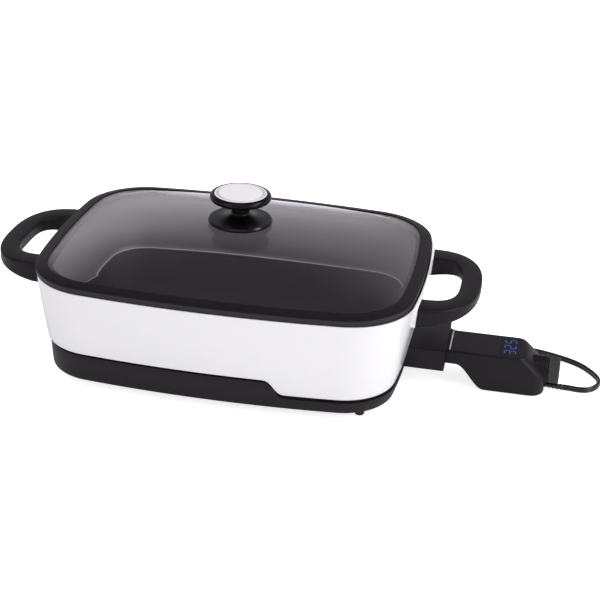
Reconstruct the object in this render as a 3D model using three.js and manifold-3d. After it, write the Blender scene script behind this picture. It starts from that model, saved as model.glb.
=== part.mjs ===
// Electric skillet: a rectangular non-stick pan in a white shell on a black base, with two loop
// handles, a domed glass lid that lifts off, and a plug-in heat control with a temperature dial.
// Millimetres, +Z up. The table is z = 0, the handles and the control lie along X.
import * as THREE from 'three';
import { mergeVertices } from 'three/addons/utils/BufferGeometryUtils.js';
import Module from 'manifold-3d';

const wasm = await Module();
wasm.setup();
const mergeWithin = 1e-4;

// Fits, cuts and facets
const seatGap = 0.3;              // clearance between pieces that touch
const slideGap = 0.6;             // clearance round pieces that slide or turn
const screwStand = 1.3;           // of a screw head from the sloping shell that it holds
const overrun = 3;                // how far a cutter runs past what it cuts
const screwSides = 8;
const boreSides = 8;
const smallSides = 12;            // facets of feet, pins and bushes

// Plan outline of the lid, three arcs to a quadrant; every wall is an inset of it
const halfLength = 203;
const halfWidth = 152;
const cornerRadius = 71.7;
const endBulge = 13.9;            // how far the short ends bow out
const sideBulge = 15.65;          // how far the long sides bow out
const endSteps = 2;               // facets on half an end, on a corner and on half a side
const cornerSteps = 6;
const sideSteps = 3;

// Feet and base tray
const footHeight = 11.2;
const footRadius = 6.2;
const footTaper = 1.2;
const footBossRadius = 3;
const footBossDepth = 1.8;
const footPlaceShares = [0.742, 0.69];    // of the half length and half width
const footShift = 3.5;              // of all feet towards the control
const roundSides = 24;
const trayInset = 14.6;           // of the tray's lower edge
const trayTaper = 1.9;            // how far the tray's side leans out to its top
const trayRadius = 2;             // rounding under the tray's side
const trayWall = 13.3;            // side height where the shell reaches low
const trayFloor = 3;
const trayLipInset = 15.4;        // of the lip that stands up inside the shell
const trayLipWall = 2.2;
const trayLipRise = 10;           // how far the lip reaches above the shell's high edge
const groove = 3.3;               // shadow gap between tray and shell

// Outer shell, with an S-shaped step in its lower edge
const shellHeight = 89.5;         // from its low edge to the rim
const shellWall = 1.2;
const shellTopInset = -0.6;
const shellTaper = 13.8;          // how far the wall draws in from rim to low edge
const shellSwell = 0.8;           // how far the wall bows out between them
const shellRows = 5;
const stepRise = 16.8;            // high edge over low edge
const stepPlace = 69.5;             // middle of the step, from the pan's centre
const stepWidth = 23;
const stepCurveShare = 0.52;      // how flat the S-curve leaves each edge
const stepSegments = 8;

// Pan
const panLift = 28.2;             // cooking floor over the shell's low edge
const panFloor = 5;
const panWall = 3.5;
const panFlange = 4;
const panMouthInset = 13.6;       // of the opening at the rim
const panMouthRound = 0.8;
const panDraft = 12;              // how far the inner wall draws in over its height
const panFillet = 8;             // between inner wall and floor
const filletSteps = 4;
const postRadius = 5;             // cast posts that the tray is screwed to
const postPlaceShares = [0.66, 0.58];
const postBore = 1.9;
const trayScrewRadius = 1.6;
const trayScrewHead = 3.6;
const trayScrewHeadHeight = 2.2;
const trayScrewLength = 16;

// Handles: open loops whose arms end on the shell
const handleTop = 10;             // below the lid's edge
const handleReach = 59.6;
const handleHalfWidth = 78.5;
const handleThickness = 22;       // at the shell
const handleTipThickness = 10.5;
const handleRoundShare = 0.8;     // superellipse power of the outer loop
const gripReach = 38.9;           // finger opening
const gripHalfWidth = 51.7;
const gripRoundShare = 0.63;
const handleEdge = 1.6;           // rounding of the edges
const handleRoot = 12;            // how far the arms are drawn in before the shell cuts them
const handleCurveSteps = 20;
const handleScrewPlace = 64;      // from the middle of the handle
const handleScrewDrop = 10;       // below the handle's top
const handleScrewRadius = 2;
const handleScrewHead = 4;
const handleScrewHeadHeight = 2.6;
const handleScrewLength = 18;

// Heating element under the pan, with its cold ends at the right
const elementRadius = 3.5;
const elementShares = [0.552, 0.408];     // of the half length and half width
const elementBends = [16, 20];    // radii where the ends turn out, and of the loop's corners
const elementRise = 22;           // run in which an end rises to the pan
const elementSides = 8;
const elementRiseSteps = 4;
const bendSteps = 6;
const clipPlaceShare = 0.2;       // of the clamp bars, of the half length
const clipWidth = 9;
const clipSheet = 1.2;
const clipEnd = 16;               // of a clamp bar beyond the rod

// Guard that shrouds the contact pins, and what stands in it
const guardReach = 29;            // beyond the lid's edge
const guardHalfWidth = 36.5;
const guardHeight = 24.6;
const guardWall = 2.6;
const guardAxis = 35.9;          // height of the pins over the table
const guardEdge = 1;
const guardScrewPlace = 30.3;
const guardScrewRadius = 1.7;
const guardScrewHead = 3.2;
const guardScrewHeadHeight = 2;
const guardScrewLength = 14;
const guardBossRadius = 3.8;
const guardBossLength = 9;
const windowHalfWidth = 27.5;     // opening in the shell behind the guard
const pinSpacing = 26;
const pinRadius = 2.35;
const pinReach = 18;              // from the guard's mouth back to the pins' tips
const bracketPlace = 53;          // from the lid's edge in to the bracket
const bracketSheet = 2;
const bracketHalfWidth = 24;
const bracketDrop = 10;           // below the pins' axis
const bracketFoot = 14;
const insulatorRadius = 5.6;
const insulatorFlange = 7.2;
const insulatorLength = 12;
const insulatorFlangeLength = 3;
const pinSeat = 12;               // of the pins behind the bracket
const sleeveRadius = 4;           // sensor sleeve
const sleeveBore = 3.1;
const sleeveLength = 44;
const sleeveSeat = 18;            // of the sleeve behind the bracket

// Heat control, measured from the guard's mouth and the pins' axis
const controlHalfWidth = 26;
const controlRise = 7.75;         // top over the pins' axis
const noseDrop = 7.75;
const noseReach = 36;             // of the nose into the guard
const controlLength = 106.5;      // mouth to rear face
const controlDrop = 34.75;        // body's underside below the pins' axis
const throatShares = [0.1033, 0.4085];     // of the length: where the underside drops
const throatCurveShare = 0.36;
const throatSegments = 8;
const shoulderRear = 21.5;        // where the top slopes down, from the rear face
const deckRear = 3.5;
const shoulderDrop = 17;
const rearRadius = 15;            // rear corners in plan
const controlEdge = 1.2;
const cavityStart = 16;
const cavityWall = 3;
const cavityRear = 27.5;          // solid rear of the case round the dial's shaft
const collarRadius = 15.2;
const collarLength = 20.5;
const collarProud = 1.8;
const axisDrop = 13.15;           // dial axis below the pins' axis
const coverInset = 2;
const coverThickness = 2.4;
const coverStart = 4.5;
const displayRear = 26.5;         // window's end, from the rear face
const displayLength = 25;
const trimPlace = 3.2;
const trimWidth = 1.1;
const trimHeight = 0.9;
const trimHalfWidth = 22;
const trimProud = 0.3;
const digitHeight = 12.5;
const digitWidth = 8.2;
const digitPitch = 13.4;
const digitInset = 12.7;          // middle of the digits, from the window's end
const digitStroke = 1.5;
const digitPlate = [17, 40, 1.2]; // of the display module under the window
const digitGap = 0.35;
const digitPocket = 0.12;         // clearance round each lit bar
const digitSegments = ['abgcd', 'abged', 'afgcd'];   // 3, 2 and 5
const contactRadius = 3.6;
const contactBore = 2.75;
const contactLength = 24;
const probeRadius = 2.5;
const probeReach = 52;            // of the sensor ahead of the nose
const probeSeat = 20;
const boardThickness = 1.6;
const boardDrop = 12;             // board's top below the control's top
const boardMargin = 1.2;
const boardPegRadius = 2.2;
const relayShare = 0.63;          // of the board's length
const relayWidth = 14;
const relayHeight = 7;
const encoderSize = [9, 13, 14];
const dialRadius = 14.2;
const dialLength = 12.2;
const dialRibs = 30;
const dialRibDepth = 0.6;
const dialRound = 2.6;
const dialHub = 6;
const dialDish = 1;
const dialGap = 0.5;              // between collar and dial
const shaftRadius = 3;
const shaftSeat = 7;              // of the shaft in the dial
const boardScrewRadius = 1.1;
const boardScrewHead = 2;
const boardScrewHeadHeight = 1.4;
const boardScrewLength = 6;

// Lid
const lidRim = 6.4;               // height of the ring's outer band
const rimWidth = 12.5;
const rimSlope = 0.22;           // rise of the ring's top for its width
const rimRound = 0.9;
const rimDraft = 0.7;
const rimLip = 0.6;               // rubber over the glass
const glassThickness = 3.5;
const glassEdgeInset = 5.4;
const domeInset = 14;
const domeRise = 28.9;
const domePowerShare = 1.85;      // of the curve from edge to apex
const domeShares = [1, 0.82, 0.58, 0.3];
const domeCentreShare = 0.05;
const skirtOuter = 15.7;          // lip that drops into the pan
const skirtInner = 17.9;
const skirtDepth = 4.5;
const glassHole = 4;
const knobBaseRadius = 34;
const knobBaseHeight = 3.6;       // of the flange at its edge
const knobNeckRadius = 9.6;
const knobHeight = 32;            // dome to the top of the grip
const knobGripRadius = 32;
const knobGripThickness = 8;
const knobFlareHeight = 11;
const knobEdge = 1.8;
const knobLip = 0.5;              // of the flange's edge below its middle
const flareSteps = 6;
const knobInlayRadius = 28.2;
const knobInlayThickness = 1;
const knobBore = 2.6;
const knobScrewRadius = 2.2;
const knobScrewHead = 5;
const knobScrewHeadHeight = 2.8;
const knobScrewLength = 22;
const knobWasherRadius = 9;
const knobWasherThickness = 1.4;
const lidSides = 32;

// Cord, its coil behind the skillet, and its plug
const cordDiameter = 6.2;
const cordSides = 8;
const cordSteps = 44;
const reliefRoot = [4.4, 3.2];    // half width and half height at the case
const reliefTip = [3.6, 3.1];
const reliefLength = 21;
const reliefSeat = 8;
const reliefHeight = 4.8;         // over the table where it leaves the case
const reliefRings = 8;
const reliefSides = 12;
const coilRadius = 36;            // middle of the turns
const coilGap = 0.7;              // between turns
const coilTurns = [1.5, 0.5, 1];  // in, up, and out again
const coilSteps = 24;             // a turn
const coilSides = 6;
const coilCentre = [88, 218];
const coilRun = 34;               // straight run over the lower turns, before the cord comes down
const coilDrop = 20;
const coilRunSteps = 4;
const tieThickness = 0.8;
const tieWidth = 9;
const plugSize = [34, 25, 15];
const plugRound = 5;
const plugNeck = 12;
const plugNeckRadius = 5.2;
const bladeSeat = 6;
const bladeSize = [17, 6.3, 1.5];
const bladeSpacing = 12.7;

// Heights
const trayTopZ = footHeight + trayWall;
const shellLowZ = trayTopZ + groove;
const shellHighZ = shellLowZ + stepRise;
const rimZ = shellLowZ + shellHeight;
const lidZ = rimZ + seatGap;
const lidEdgeZ = lidZ + lidRim;
const panFloorZ = shellLowZ + panLift;
const panUnderZ = panFloorZ - panFloor;
const mouthX = halfLength + guardReach;

// Stations of the control, from the guard's mouth
const [throatStart, throatEnd] = throatShares.map((share) => share * controlLength);
const shoulderStart = controlLength - shoulderRear;
const shoulderEnd = controlLength - deckRear;
const collarStart = controlLength - collarLength;
const displayEnd = controlLength - displayRear;
const displayStart = displayEnd - displayLength;
const digitPlace = displayEnd - digitInset;

function solid(geometry) {
  const bare = geometry.clone();
  bare.deleteAttribute('normal');
  bare.deleteAttribute('uv');
  const merged = mergeVertices(bare, mergeWithin);
  const vertProperties = new Float32Array(merged.attributes.position.array);
  const triVerts = new Uint32Array(merged.index.array);
  return new wasm.Manifold(new wasm.Mesh({ numProp: 3, vertProperties, triVerts }));
}

function geometryOf(body) {
  const { vertProperties, triVerts } = body.getMesh();
  const geometry = new THREE.BufferGeometry();
  geometry.setAttribute('position', new THREE.BufferAttribute(new Float32Array(vertProperties), 3));
  geometry.setIndex(new THREE.BufferAttribute(new Uint32Array(triVerts), 1));
  geometry.computeVertexNormals();
  return geometry;
}

function cut(geometry, ...tools) {
  return geometryOf(tools.reduce((body, tool) => body.subtract(solid(tool)), solid(geometry)));
}

function join(geometry, ...others) {
  return geometryOf(others.reduce((body, other) => body.add(solid(other)), solid(geometry)));
}

function common(geometry, other) {
  return geometryOf(solid(geometry).intersect(solid(other)));
}

function meshOf(points, faces) {
  const geometry = new THREE.BufferGeometry();
  geometry.setAttribute('position', new THREE.Float32BufferAttribute(points.flat(), 3));
  geometry.setIndex(faces.flat());
  geometry.computeVertexNormals();
  return geometry;
}

// The arcs of one quadrant: centre, radius, and the angles between which each runs
function quadrantArcs() {
  const endRadius = halfWidth ** 2 / (2 * endBulge);
  const sideRadius = halfLength ** 2 / (2 * sideBulge);
  const endCentre = new THREE.Vector2(halfLength - endRadius, 0);
  const sideCentre = new THREE.Vector2(0, halfWidth - sideRadius);
  const toEnd = endRadius - cornerRadius;
  const toSide = sideRadius - cornerRadius;
  const apart = endCentre.distanceTo(sideCentre);
  const along = (toSide ** 2 - toEnd ** 2 + apart ** 2) / (2 * apart);
  const aside = Math.sqrt(toSide ** 2 - along ** 2);
  const direction = endCentre.clone().sub(sideCentre).normalize();
  const normal = new THREE.Vector2(direction.y, -direction.x);
  const cornerCentre = sideCentre.clone().addScaledVector(direction, along).addScaledVector(normal, aside);
  const fromEnd = cornerCentre.clone().sub(endCentre).angle();
  const fromSide = cornerCentre.clone().sub(sideCentre).angle();
  return [
    { centre: endCentre, radius: endRadius, from: 0, to: fromEnd, steps: endSteps },
    { centre: cornerCentre, radius: cornerRadius, from: fromEnd, to: fromSide, steps: cornerSteps },
    { centre: sideCentre, radius: sideRadius, from: fromSide, to: Math.PI / 2, steps: sideSteps },
  ];
}

// Points of the plan outline drawn in by an inset, anticlockwise from the right end
function outline(inset, share = 1) {
  const quadrant = [];
  for (const { centre, radius, from, to, steps } of quadrantArcs()) {
    for (let i = 0; i < steps; i += 1) {
      const angle = from + (to - from) * i / steps;
      quadrant.push([centre.x + (radius - inset) * Math.cos(angle),
        centre.y + (radius - inset) * Math.sin(angle)]);
    }
  }
  const top = [0, halfWidth - inset];
  const mirrored = quadrant.slice(1).reverse().map(([x, y]) => [-x, y]);
  const upper = [...quadrant, top, ...mirrored];
  const lower = upper.map(([x, y]) => [-x, -y]);
  return [...upper, ...lower].map(([x, y]) => [x * share, y * share]);
}

// A closed body of outline rings, from its underside up round the outside to its top
function skin(profile) {
  const points = [];
  const faces = [];
  for (const [inset, z, share] of profile) {
    for (const [x, y] of outline(inset, share)) points.push([x, y, z]);
  }
  const count = points.length / profile.length;
  for (let ring = 0; ring < profile.length - 1; ring += 1) faces.push(...band(ring * count, (ring + 1) * count, count));
  const last = (profile.length - 1) * count;
  points.push([0, 0, profile[0][1]], [0, 0, profile[profile.length - 1][1]]);
  for (let i = 0; i < count; i += 1) {
    const next = (i + 1) % count;
    faces.push([points.length - 2, next, i], [points.length - 1, last + i, last + next]);
  }
  return meshOf(points, faces);
}

// A closed hoop of outline rings: the profile runs up the outside and down the inside
function hoop(profile) {
  const points = [];
  const faces = [];
  for (const [inset, z] of profile) {
    for (const [x, y] of outline(inset)) points.push([x, y, z]);
  }
  const count = points.length / profile.length;
  for (let ring = 0; ring < profile.length; ring += 1) {
    faces.push(...band(ring * count, ((ring + 1) % profile.length) * count, count));
  }
  return meshOf(points, faces);
}

function band(from, to, count) {
  const faces = [];
  for (let i = 0; i < count; i += 1) {
    const next = (i + 1) % count;
    faces.push([from + i, from + next, to + next], [from + i, to + next, to + i]);
  }
  return faces;
}

// A tube of oval rings: each ring has a centre, a direction, and a half width and half height
function ovalTube(rings, sides) {
  const points = [];
  const faces = [];
  const up = new THREE.Vector3(0, 0, 1);
  for (const { centre, direction, halfWide, halfHigh } of rings) {
    const wide = up.clone().cross(direction).normalize();
    const high = direction.clone().cross(wide).normalize();
    for (let i = 0; i < sides; i += 1) {
      const angle = 2 * Math.PI * (i + 0.5) / sides;
      const point = centre.clone().addScaledVector(wide, halfWide * Math.cos(angle))
        .addScaledVector(high, halfHigh * Math.sin(angle));
      points.push(point.toArray());
    }
  }
  for (let ring = 0; ring < rings.length - 1; ring += 1) faces.push(...band(ring * sides, (ring + 1) * sides, sides));
  const last = (rings.length - 1) * sides;
  for (let i = 1; i < sides - 1; i += 1) faces.push([0, i + 1, i], [last, last + i, last + i + 1]);
  return meshOf(points, faces);
}

function block(from, to) {
  const size = to.map((value, axis) => value - from[axis]);
  const geometry = new THREE.BoxGeometry(...size);
  return geometry.translate(...to.map((value, axis) => (value + from[axis]) / 2));
}

// A round rod along Z from z0 to z1
function rod(radius, z0, z1, sides = roundSides) {
  const geometry = new THREE.CylinderGeometry(radius, radius, z1 - z0, sides);
  return geometry.rotateX(Math.PI / 2).translate(0, 0, (z0 + z1) / 2);
}

// The same, along X
function rodX(radius, x0, x1, y, z, sides = roundSides) {
  return rod(radius, x0, x1, sides).rotateY(Math.PI / 2).translate(0, y, z);
}

function turned(profile, sides = roundSides) {
  const points = profile.map(([radius, z]) => new THREE.Vector2(radius, z));
  return new THREE.LatheGeometry(points, sides).rotateX(Math.PI / 2);
}

// A shape drawn in X and Z, carried across Y
function acrossY(shape, halfDepth, curveSegments) {
  const geometry = new THREE.ExtrudeGeometry(shape, { depth: 2 * halfDepth, bevelEnabled: false, curveSegments });
  return geometry.rotateX(Math.PI / 2).translate(0, halfDepth, 0);
}

// A screw along Z: its head starts at the origin and its shank points up
function screw(radius, length, head, headHeight) {
  return turned([[0, 0], [head, 0], [head, headHeight], [radius, headHeight],
    [radius, headHeight + length], [0, headHeight + length]], screwSides);
}

function corners([x, y]) {
  return [[x, y], [-x, y], [-x, -y], [x, -y]];
}

const paint = (color, roughness, metalness = 0, more = {}) => (
  new THREE.MeshStandardMaterial({ color, roughness, metalness, ...more }));
const white = paint('#ebe9ee', 0.3);
const blackPlastic = paint('#2c282d', 0.5);
const blackGloss = paint('#18171a', 0.2);
const silicone = paint('#262428', 0.6);
const nonstick = paint('#38373c', 0.45, 0.3);
const glass = paint('#8b888f', 0.08, 0, { transparent: true, opacity: 0.4 });
const steel = paint('#b9b6ba', 0.35, 1);
const brass = paint('#b59a5a', 0.35, 1);
const ceramic = paint('#e6e1d6', 0.6);
const greyTrim = paint('#a9a7ab', 0.4);
const ledBlue = paint('#3b5bdc', 0.4);
const boardGreen = paint('#2f5d3a', 0.6);

function place(group, name, geometry, material) {
  const mesh = new THREE.Mesh(geometry, material);
  mesh.name = name;
  group.add(mesh);
  return mesh;
}

// How far the shell's outer face lies inside the plan outline at a height
function shellInset(z) {
  const share = (rimZ - z) / shellHeight;
  return shellTopInset + shellTaper * share - 4 * shellSwell * share * (1 - share);
}

// The body inside the shell's outer face, grown by a gap: pieces that stand on the shell are cut by it
function bodyEnvelope(gap) {
  const profile = [[shellInset(0) - gap, 0]];
  for (let row = 0; row <= shellRows; row += 1) {
    const z = shellLowZ + shellHeight * row / shellRows;
    profile.push([shellInset(z) - gap, z]);
  }
  return skin(profile);
}

// The S-curve of the shell's lower edge, as a shape on one side of it, moved down by a drop
function stepShape(side, drop) {
  const left = stepPlace - stepWidth / 2;
  const right = stepPlace + stepWidth / 2;
  const low = shellLowZ - drop;
  const high = shellHighZ - drop;
  const reach = stepWidth * stepCurveShare;
  const shape = new THREE.Shape();
  const far = halfLength + overrun;
  if (side < 0) {
    shape.moveTo(-far, -overrun);
    shape.lineTo(far, -overrun);
    shape.lineTo(far, low);
    shape.lineTo(right, low);
    shape.bezierCurveTo(right - reach, low, left + reach, high, left, high);
    shape.lineTo(-far, high);
  } else {
    shape.moveTo(right, low);
    shape.lineTo(far, low);
    shape.lineTo(far, rimZ);
    shape.lineTo(left, rimZ);
    shape.lineTo(left, high);
    shape.bezierCurveTo(left + reach, high, right - reach, low, right, low);
  }
  return shape;
}

function makeShell() {
  const outer = [];
  for (let row = 0; row <= shellRows; row += 1) {
    const z = shellLowZ + shellHeight * row / shellRows;
    outer.push([shellInset(z), z]);
  }
  const inner = outer.map(([inset, z]) => [inset + shellWall, z]).reverse();
  const wall = hoop([...outer, ...inner]);
  const below = acrossY(stepShape(-1, 0), halfWidth + overrun, stepSegments);
  const shafts = handleScrewPlaces().map(([x, y, z]) => (
    rodX(handleScrewRadius + seatGap, x - handleScrewLength, x + handleScrewLength, y, z, boreSides)));
  const guardShafts = [-guardScrewPlace, guardScrewPlace].map((y) => (
    rodX(guardScrewRadius + seatGap, halfLength - 2 * guardScrewLength, mouthX, y, guardAxis, boreSides)));
  return cut(wall, below, contactWindow(), ...shafts, ...guardShafts);
}

// The opening through shell and tray that the control's sensor and contacts pass
function contactWindow() {
  const halfHeight = guardHeight / 2 - guardWall;
  return block([bracketX() + bracketSheet, -windowHalfWidth, guardAxis - halfHeight],
    [mouthX, windowHalfWidth, guardAxis + halfHeight]);
}

function bracketX() {
  return halfLength - bracketPlace;
}

function makeTray() {
  const highZ = shellHighZ - groove;
  const lipTopZ = shellHighZ + trayLipRise;
  const topInset = trayInset - trayTaper;
  const lipInner = trayLipInset + trayLipWall;
  const floorZ = footHeight + trayFloor;
  const tray = skin([
    [trayInset + trayRadius, footHeight], [trayInset, footHeight + trayRadius], [topInset, highZ],
    [trayLipInset, highZ], [trayLipInset, lipTopZ], [lipInner, lipTopZ],
    [lipInner + trayRadius, floorZ + trayRadius], [lipInner + 2 * trayRadius, floorZ],
  ]);
  const shoulder = hoop([[-overrun, trayTopZ], [-overrun, highZ + overrun],
    [trayLipInset, highZ + overrun], [trayLipInset, trayTopZ]]);
  const rightOfStep = acrossY(stepShape(1, groove), halfWidth + overrun, stepSegments);
  const holes = postPlaces().map(([x, y]) => (
    rod(trayScrewRadius + seatGap, footHeight - overrun, floorZ + overrun, boreSides).translate(x, y, 0)));
  const pockets = footPlaces().map(([x, y]) => (
    rod(footBossRadius + seatGap, footHeight - overrun, footHeight + footBossDepth + seatGap, boreSides)
      .translate(x, y, 0)));
  return cut(tray, common(shoulder, rightOfStep), contactWindow(), ...holes, ...pockets,
    ...guardScrewShafts());
}

function guardScrewShafts() {
  return [-guardScrewPlace, guardScrewPlace].map((y) => (
    rodX(guardScrewHead + slideGap, bracketX(), mouthX, y, guardAxis, boreSides)));
}

function footPlaces() {
  const places = corners([halfLength * footPlaceShares[0], halfWidth * footPlaceShares[1]]);
  return places.map(([x, y]) => [x + footShift, y]);
}

function postPlaces() {
  return corners([halfLength * postPlaceShares[0], halfWidth * postPlaceShares[1]]);
}

function makeFoot([x, y]) {
  const foot = turned([[0, 0], [footRadius - footTaper, 0], [footRadius, footTaper],
    [footRadius, footHeight - seatGap], [footBossRadius, footHeight - seatGap],
    [footBossRadius, footHeight + footBossDepth - seatGap], [0, footHeight + footBossDepth - seatGap]], smallSides);
  return foot.translate(x, y, 0);
}

function makePan() {
  const flangeZ = rimZ - panFlange;
  const flangeInset = shellInset(flangeZ) + shellWall + seatGap;
  const footInset = panMouthInset + panDraft;
  const inner = [];
  for (let i = 0; i <= filletSteps; i += 1) {
    const angle = Math.PI / 2 * i / filletSteps;
    inner.push([footInset + panFillet * (1 - Math.cos(angle)), panFloorZ + panFillet * (1 - Math.sin(angle))]);
  }
  const pan = skin([
    [footInset + panFillet, panUnderZ], [footInset, panUnderZ + panFillet / 2],
    [footInset - panWall, panFloorZ + panFillet], [panMouthInset - panWall, flangeZ],
    [flangeInset, flangeZ], [flangeInset, rimZ], [panMouthInset, rimZ],
    [panMouthInset + panMouthRound, rimZ - panMouthRound], ...inner,
  ]);
  const postFootZ = footHeight + trayFloor + seatGap;
  const posts = postPlaces().map(([x, y]) => (
    rod(postRadius, postFootZ, panFloorZ - panFloor / 2, smallSides).translate(x, y, 0)));
  const bores = postPlaces().map(([x, y]) => (
    rod(postBore, 0, postFootZ + trayScrewLength, boreSides).translate(x, y, 0)));
  return cut(join(pan, ...posts), ...bores);
}

// The sheathed heating rod: a loop under the pan floor, whose two ends drop to the pins' height
function makeElement() {
  const z = panUnderZ - seatGap - elementRadius;
  const half = pinSpacing / 2;
  const endX = bracketX() - pinSeat - seatGap;
  const [length, width] = elementHalves();
  const [inner, outer] = elementBends;
  const riseX = endX - elementRadius - elementRise;
  const front = [[endX, -half, guardAxis]];
  for (let i = 0; i <= elementRiseSteps; i += 1) {
    const share = i / elementRiseSteps;
    front.push([riseX + elementRise * (1 - share), -half, guardAxis + (z - guardAxis) * smooth(share)]);
  }
  front.push(...arc([riseX, -half - inner], inner, 90, 180, z).slice(1));
  front.push(...arc([riseX - inner - outer, outer - width], outer, 0, -90, z));
  front.push(...arc([outer - length, outer - width], outer, -90, -180, z));
  const rear = front.map(([x, y, height]) => [x, -y, height]).reverse();
  return pipe([...front, ...rear].map(vector), elementRadius, elementSides);
}

function elementHalves() {
  return [halfLength * elementShares[0], halfWidth * elementShares[1]];
}

function smooth(share) {
  return share * share * (3 - 2 * share);
}

function vector([x, y, z]) {
  return new THREE.Vector3(x, y, z);
}

function arc([cx, cy], radius, from, to, z) {
  const points = [];
  for (let i = 0; i <= bendSteps; i += 1) {
    const angle = (from + (to - from) * i / bendSteps) * Math.PI / 180;
    points.push([cx + radius * Math.cos(angle), cy + radius * Math.sin(angle), z]);
  }
  return points;
}

// A round tube through points
function pipe(points, radius, sides) {
  return ovalTube(points.map((centre, i) => {
    const before = points[Math.max(0, i - 1)];
    const after = points[Math.min(points.length - 1, i + 1)];
    return { centre, direction: after.clone().sub(before).normalize(), halfWide: radius, halfHigh: radius };
  }), sides);
}

// A sheet clamp bar across the pan floor, with a saddle over each side of the heating loop
function makeClamp(x) {
  const inner = elementRadius + seatGap;
  const outer = inner + clipSheet;
  const [, half] = elementHalves();
  const end = half + clipEnd;
  const bar = block([x - clipWidth / 2, -end, panUnderZ - seatGap - clipSheet],
    [x + clipWidth / 2, end, panUnderZ - seatGap]);
  const rodZ = panUnderZ - seatGap - elementRadius;
  const across = (radius, y, grow) => (
    rodX(radius, x - clipWidth / 2 - grow, x + clipWidth / 2 + grow, y, rodZ, smallSides));
  const saddles = [-half, half].map((y) => across(outer, y, 0));
  const bores = [-half, half].map((y) => across(inner, y, overrun));
  const above = block([x - clipWidth, -end - overrun, panUnderZ - seatGap],
    [x + clipWidth, end + overrun, panUnderZ + 2 * outer]);
  return cut(join(bar, ...saddles), above, ...bores);
}

function makeBracket() {
  const x = bracketX();
  const topZ = panUnderZ - seatGap;
  const plate = block([x, -bracketHalfWidth, guardAxis - bracketDrop], [x + bracketSheet, bracketHalfWidth, topZ]);
  const foot = block([x - bracketFoot, -bracketHalfWidth, topZ - bracketSheet],
    [x + bracketSheet, bracketHalfWidth, topZ]);
  const from = x - overrun;
  const to = x + bracketSheet + overrun;
  const holes = pinPlaces().map((y) => rodX(insulatorRadius + seatGap, from, to, y, guardAxis, smallSides));
  return cut(join(plate, foot), ...holes, rodX(sleeveRadius + seatGap, from, to, 0, guardAxis, smallSides));
}

function pinPlaces() {
  return [-pinSpacing / 2, pinSpacing / 2];
}

// A ceramic bush in the bracket, with its flange on the outer side
function makeInsulator(y) {
  const x = bracketX() + bracketSheet + seatGap;
  const bore = pinRadius + seatGap;
  const bush = turned([[bore, 0], [insulatorRadius, 0], [insulatorRadius, insulatorLength - insulatorFlangeLength],
    [insulatorFlange, insulatorLength - insulatorFlangeLength], [insulatorFlange, insulatorLength],
    [bore, insulatorLength], [bore, 0]], smallSides);
  return bush.rotateY(Math.PI / 2).translate(x - insulatorLength + insulatorFlangeLength, y, guardAxis);
}

function makePin(y) {
  const tip = pinRadius / 2;
  const length = mouthX - pinReach - bracketX() + pinSeat;
  const pin = turned([[0, 0], [pinRadius, 0], [pinRadius, length - tip], [pinRadius - tip, length], [0, length]], smallSides);
  return pin.rotateY(Math.PI / 2).translate(bracketX() - pinSeat, y, guardAxis);
}

function makeSleeve() {
  const sleeve = turned([[sleeveBore, 0], [sleeveRadius, 0], [sleeveRadius, sleeveLength],
    [sleeveBore, sleeveLength], [sleeveBore, 0]], smallSides);
  return sleeve.rotateY(Math.PI / 2).translate(bracketX() - sleeveSeat, 0, guardAxis);
}

// Where the shell's outer face stands on the right end
function shellEndX(y, z) {
  const [{ centre, radius }] = quadrantArcs();
  return centre.x + Math.sqrt((radius - shellInset(z)) ** 2 - y ** 2);
}

function handleScrewPlaces() {
  const z = lidEdgeZ - handleTop - handleScrewDrop;
  const x = shellEndX(handleScrewPlace, z) - shellWall - screwStand;
  return corners([x, handleScrewPlace]).map(([px, py]) => [px, py, z]);
}

function superellipse(reach, half, share, steps) {
  const points = [];
  for (let i = 0; i <= steps; i += 1) {
    const angle = Math.PI * (i / steps - 0.5);
    const [c, s] = [Math.cos(angle), Math.sin(angle)];
    points.push(new THREE.Vector2(reach * Math.abs(c) ** share, half * Math.sign(s) * Math.abs(s) ** share));
  }
  points[0].x = 0;
  points[steps].x = 0;
  return points;
}

// The right handle: its finger opening runs through to the shell, so the loop ends in two arms
function makeHandle() {
  const loop = superellipse(handleReach, handleHalfWidth, handleRoundShare, handleCurveSteps);
  const opening = superellipse(gripReach, gripHalfWidth, gripRoundShare, handleCurveSteps).reverse();
  const shape = new THREE.Shape([
    new THREE.Vector2(-handleRoot, -handleHalfWidth), ...loop,
    new THREE.Vector2(-handleRoot, handleHalfWidth), new THREE.Vector2(-handleRoot, gripHalfWidth),
    ...opening, new THREE.Vector2(-handleRoot, -gripHalfWidth),
  ]);
  const topZ = lidEdgeZ - handleTop;
  const plate = new THREE.ExtrudeGeometry(shape, {
    depth: handleThickness, bevelEnabled: true, bevelThickness: handleEdge, bevelSize: handleEdge,
    bevelOffset: -handleEdge, bevelSegments: 2,
  });
  plate.translate(halfLength, 0, topZ - handleThickness - handleEdge);
  const slope = (handleThickness - handleTipThickness) / handleReach;
  const [fromX, toX] = [-handleRoot - overrun, handleReach + overrun];
  const under = new THREE.Shape();
  under.moveTo(halfLength + fromX, topZ - 2 * handleThickness);
  under.lineTo(halfLength + toX, topZ - 2 * handleThickness);
  under.lineTo(halfLength + toX, topZ - handleThickness + slope * toX);
  under.lineTo(halfLength + fromX, topZ - handleThickness + slope * fromX);
  const bores = handleScrewPlaces().filter(([x]) => x > 0).map(([x, y, z]) => (
    rodX(handleScrewRadius + seatGap, x - overrun, x + handleScrewLength + seatGap, y, z, boreSides)));
  return cut(plate, acrossY(under, handleHalfWidth + overrun, 1), bodyEnvelope(seatGap), ...bores);
}

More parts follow.
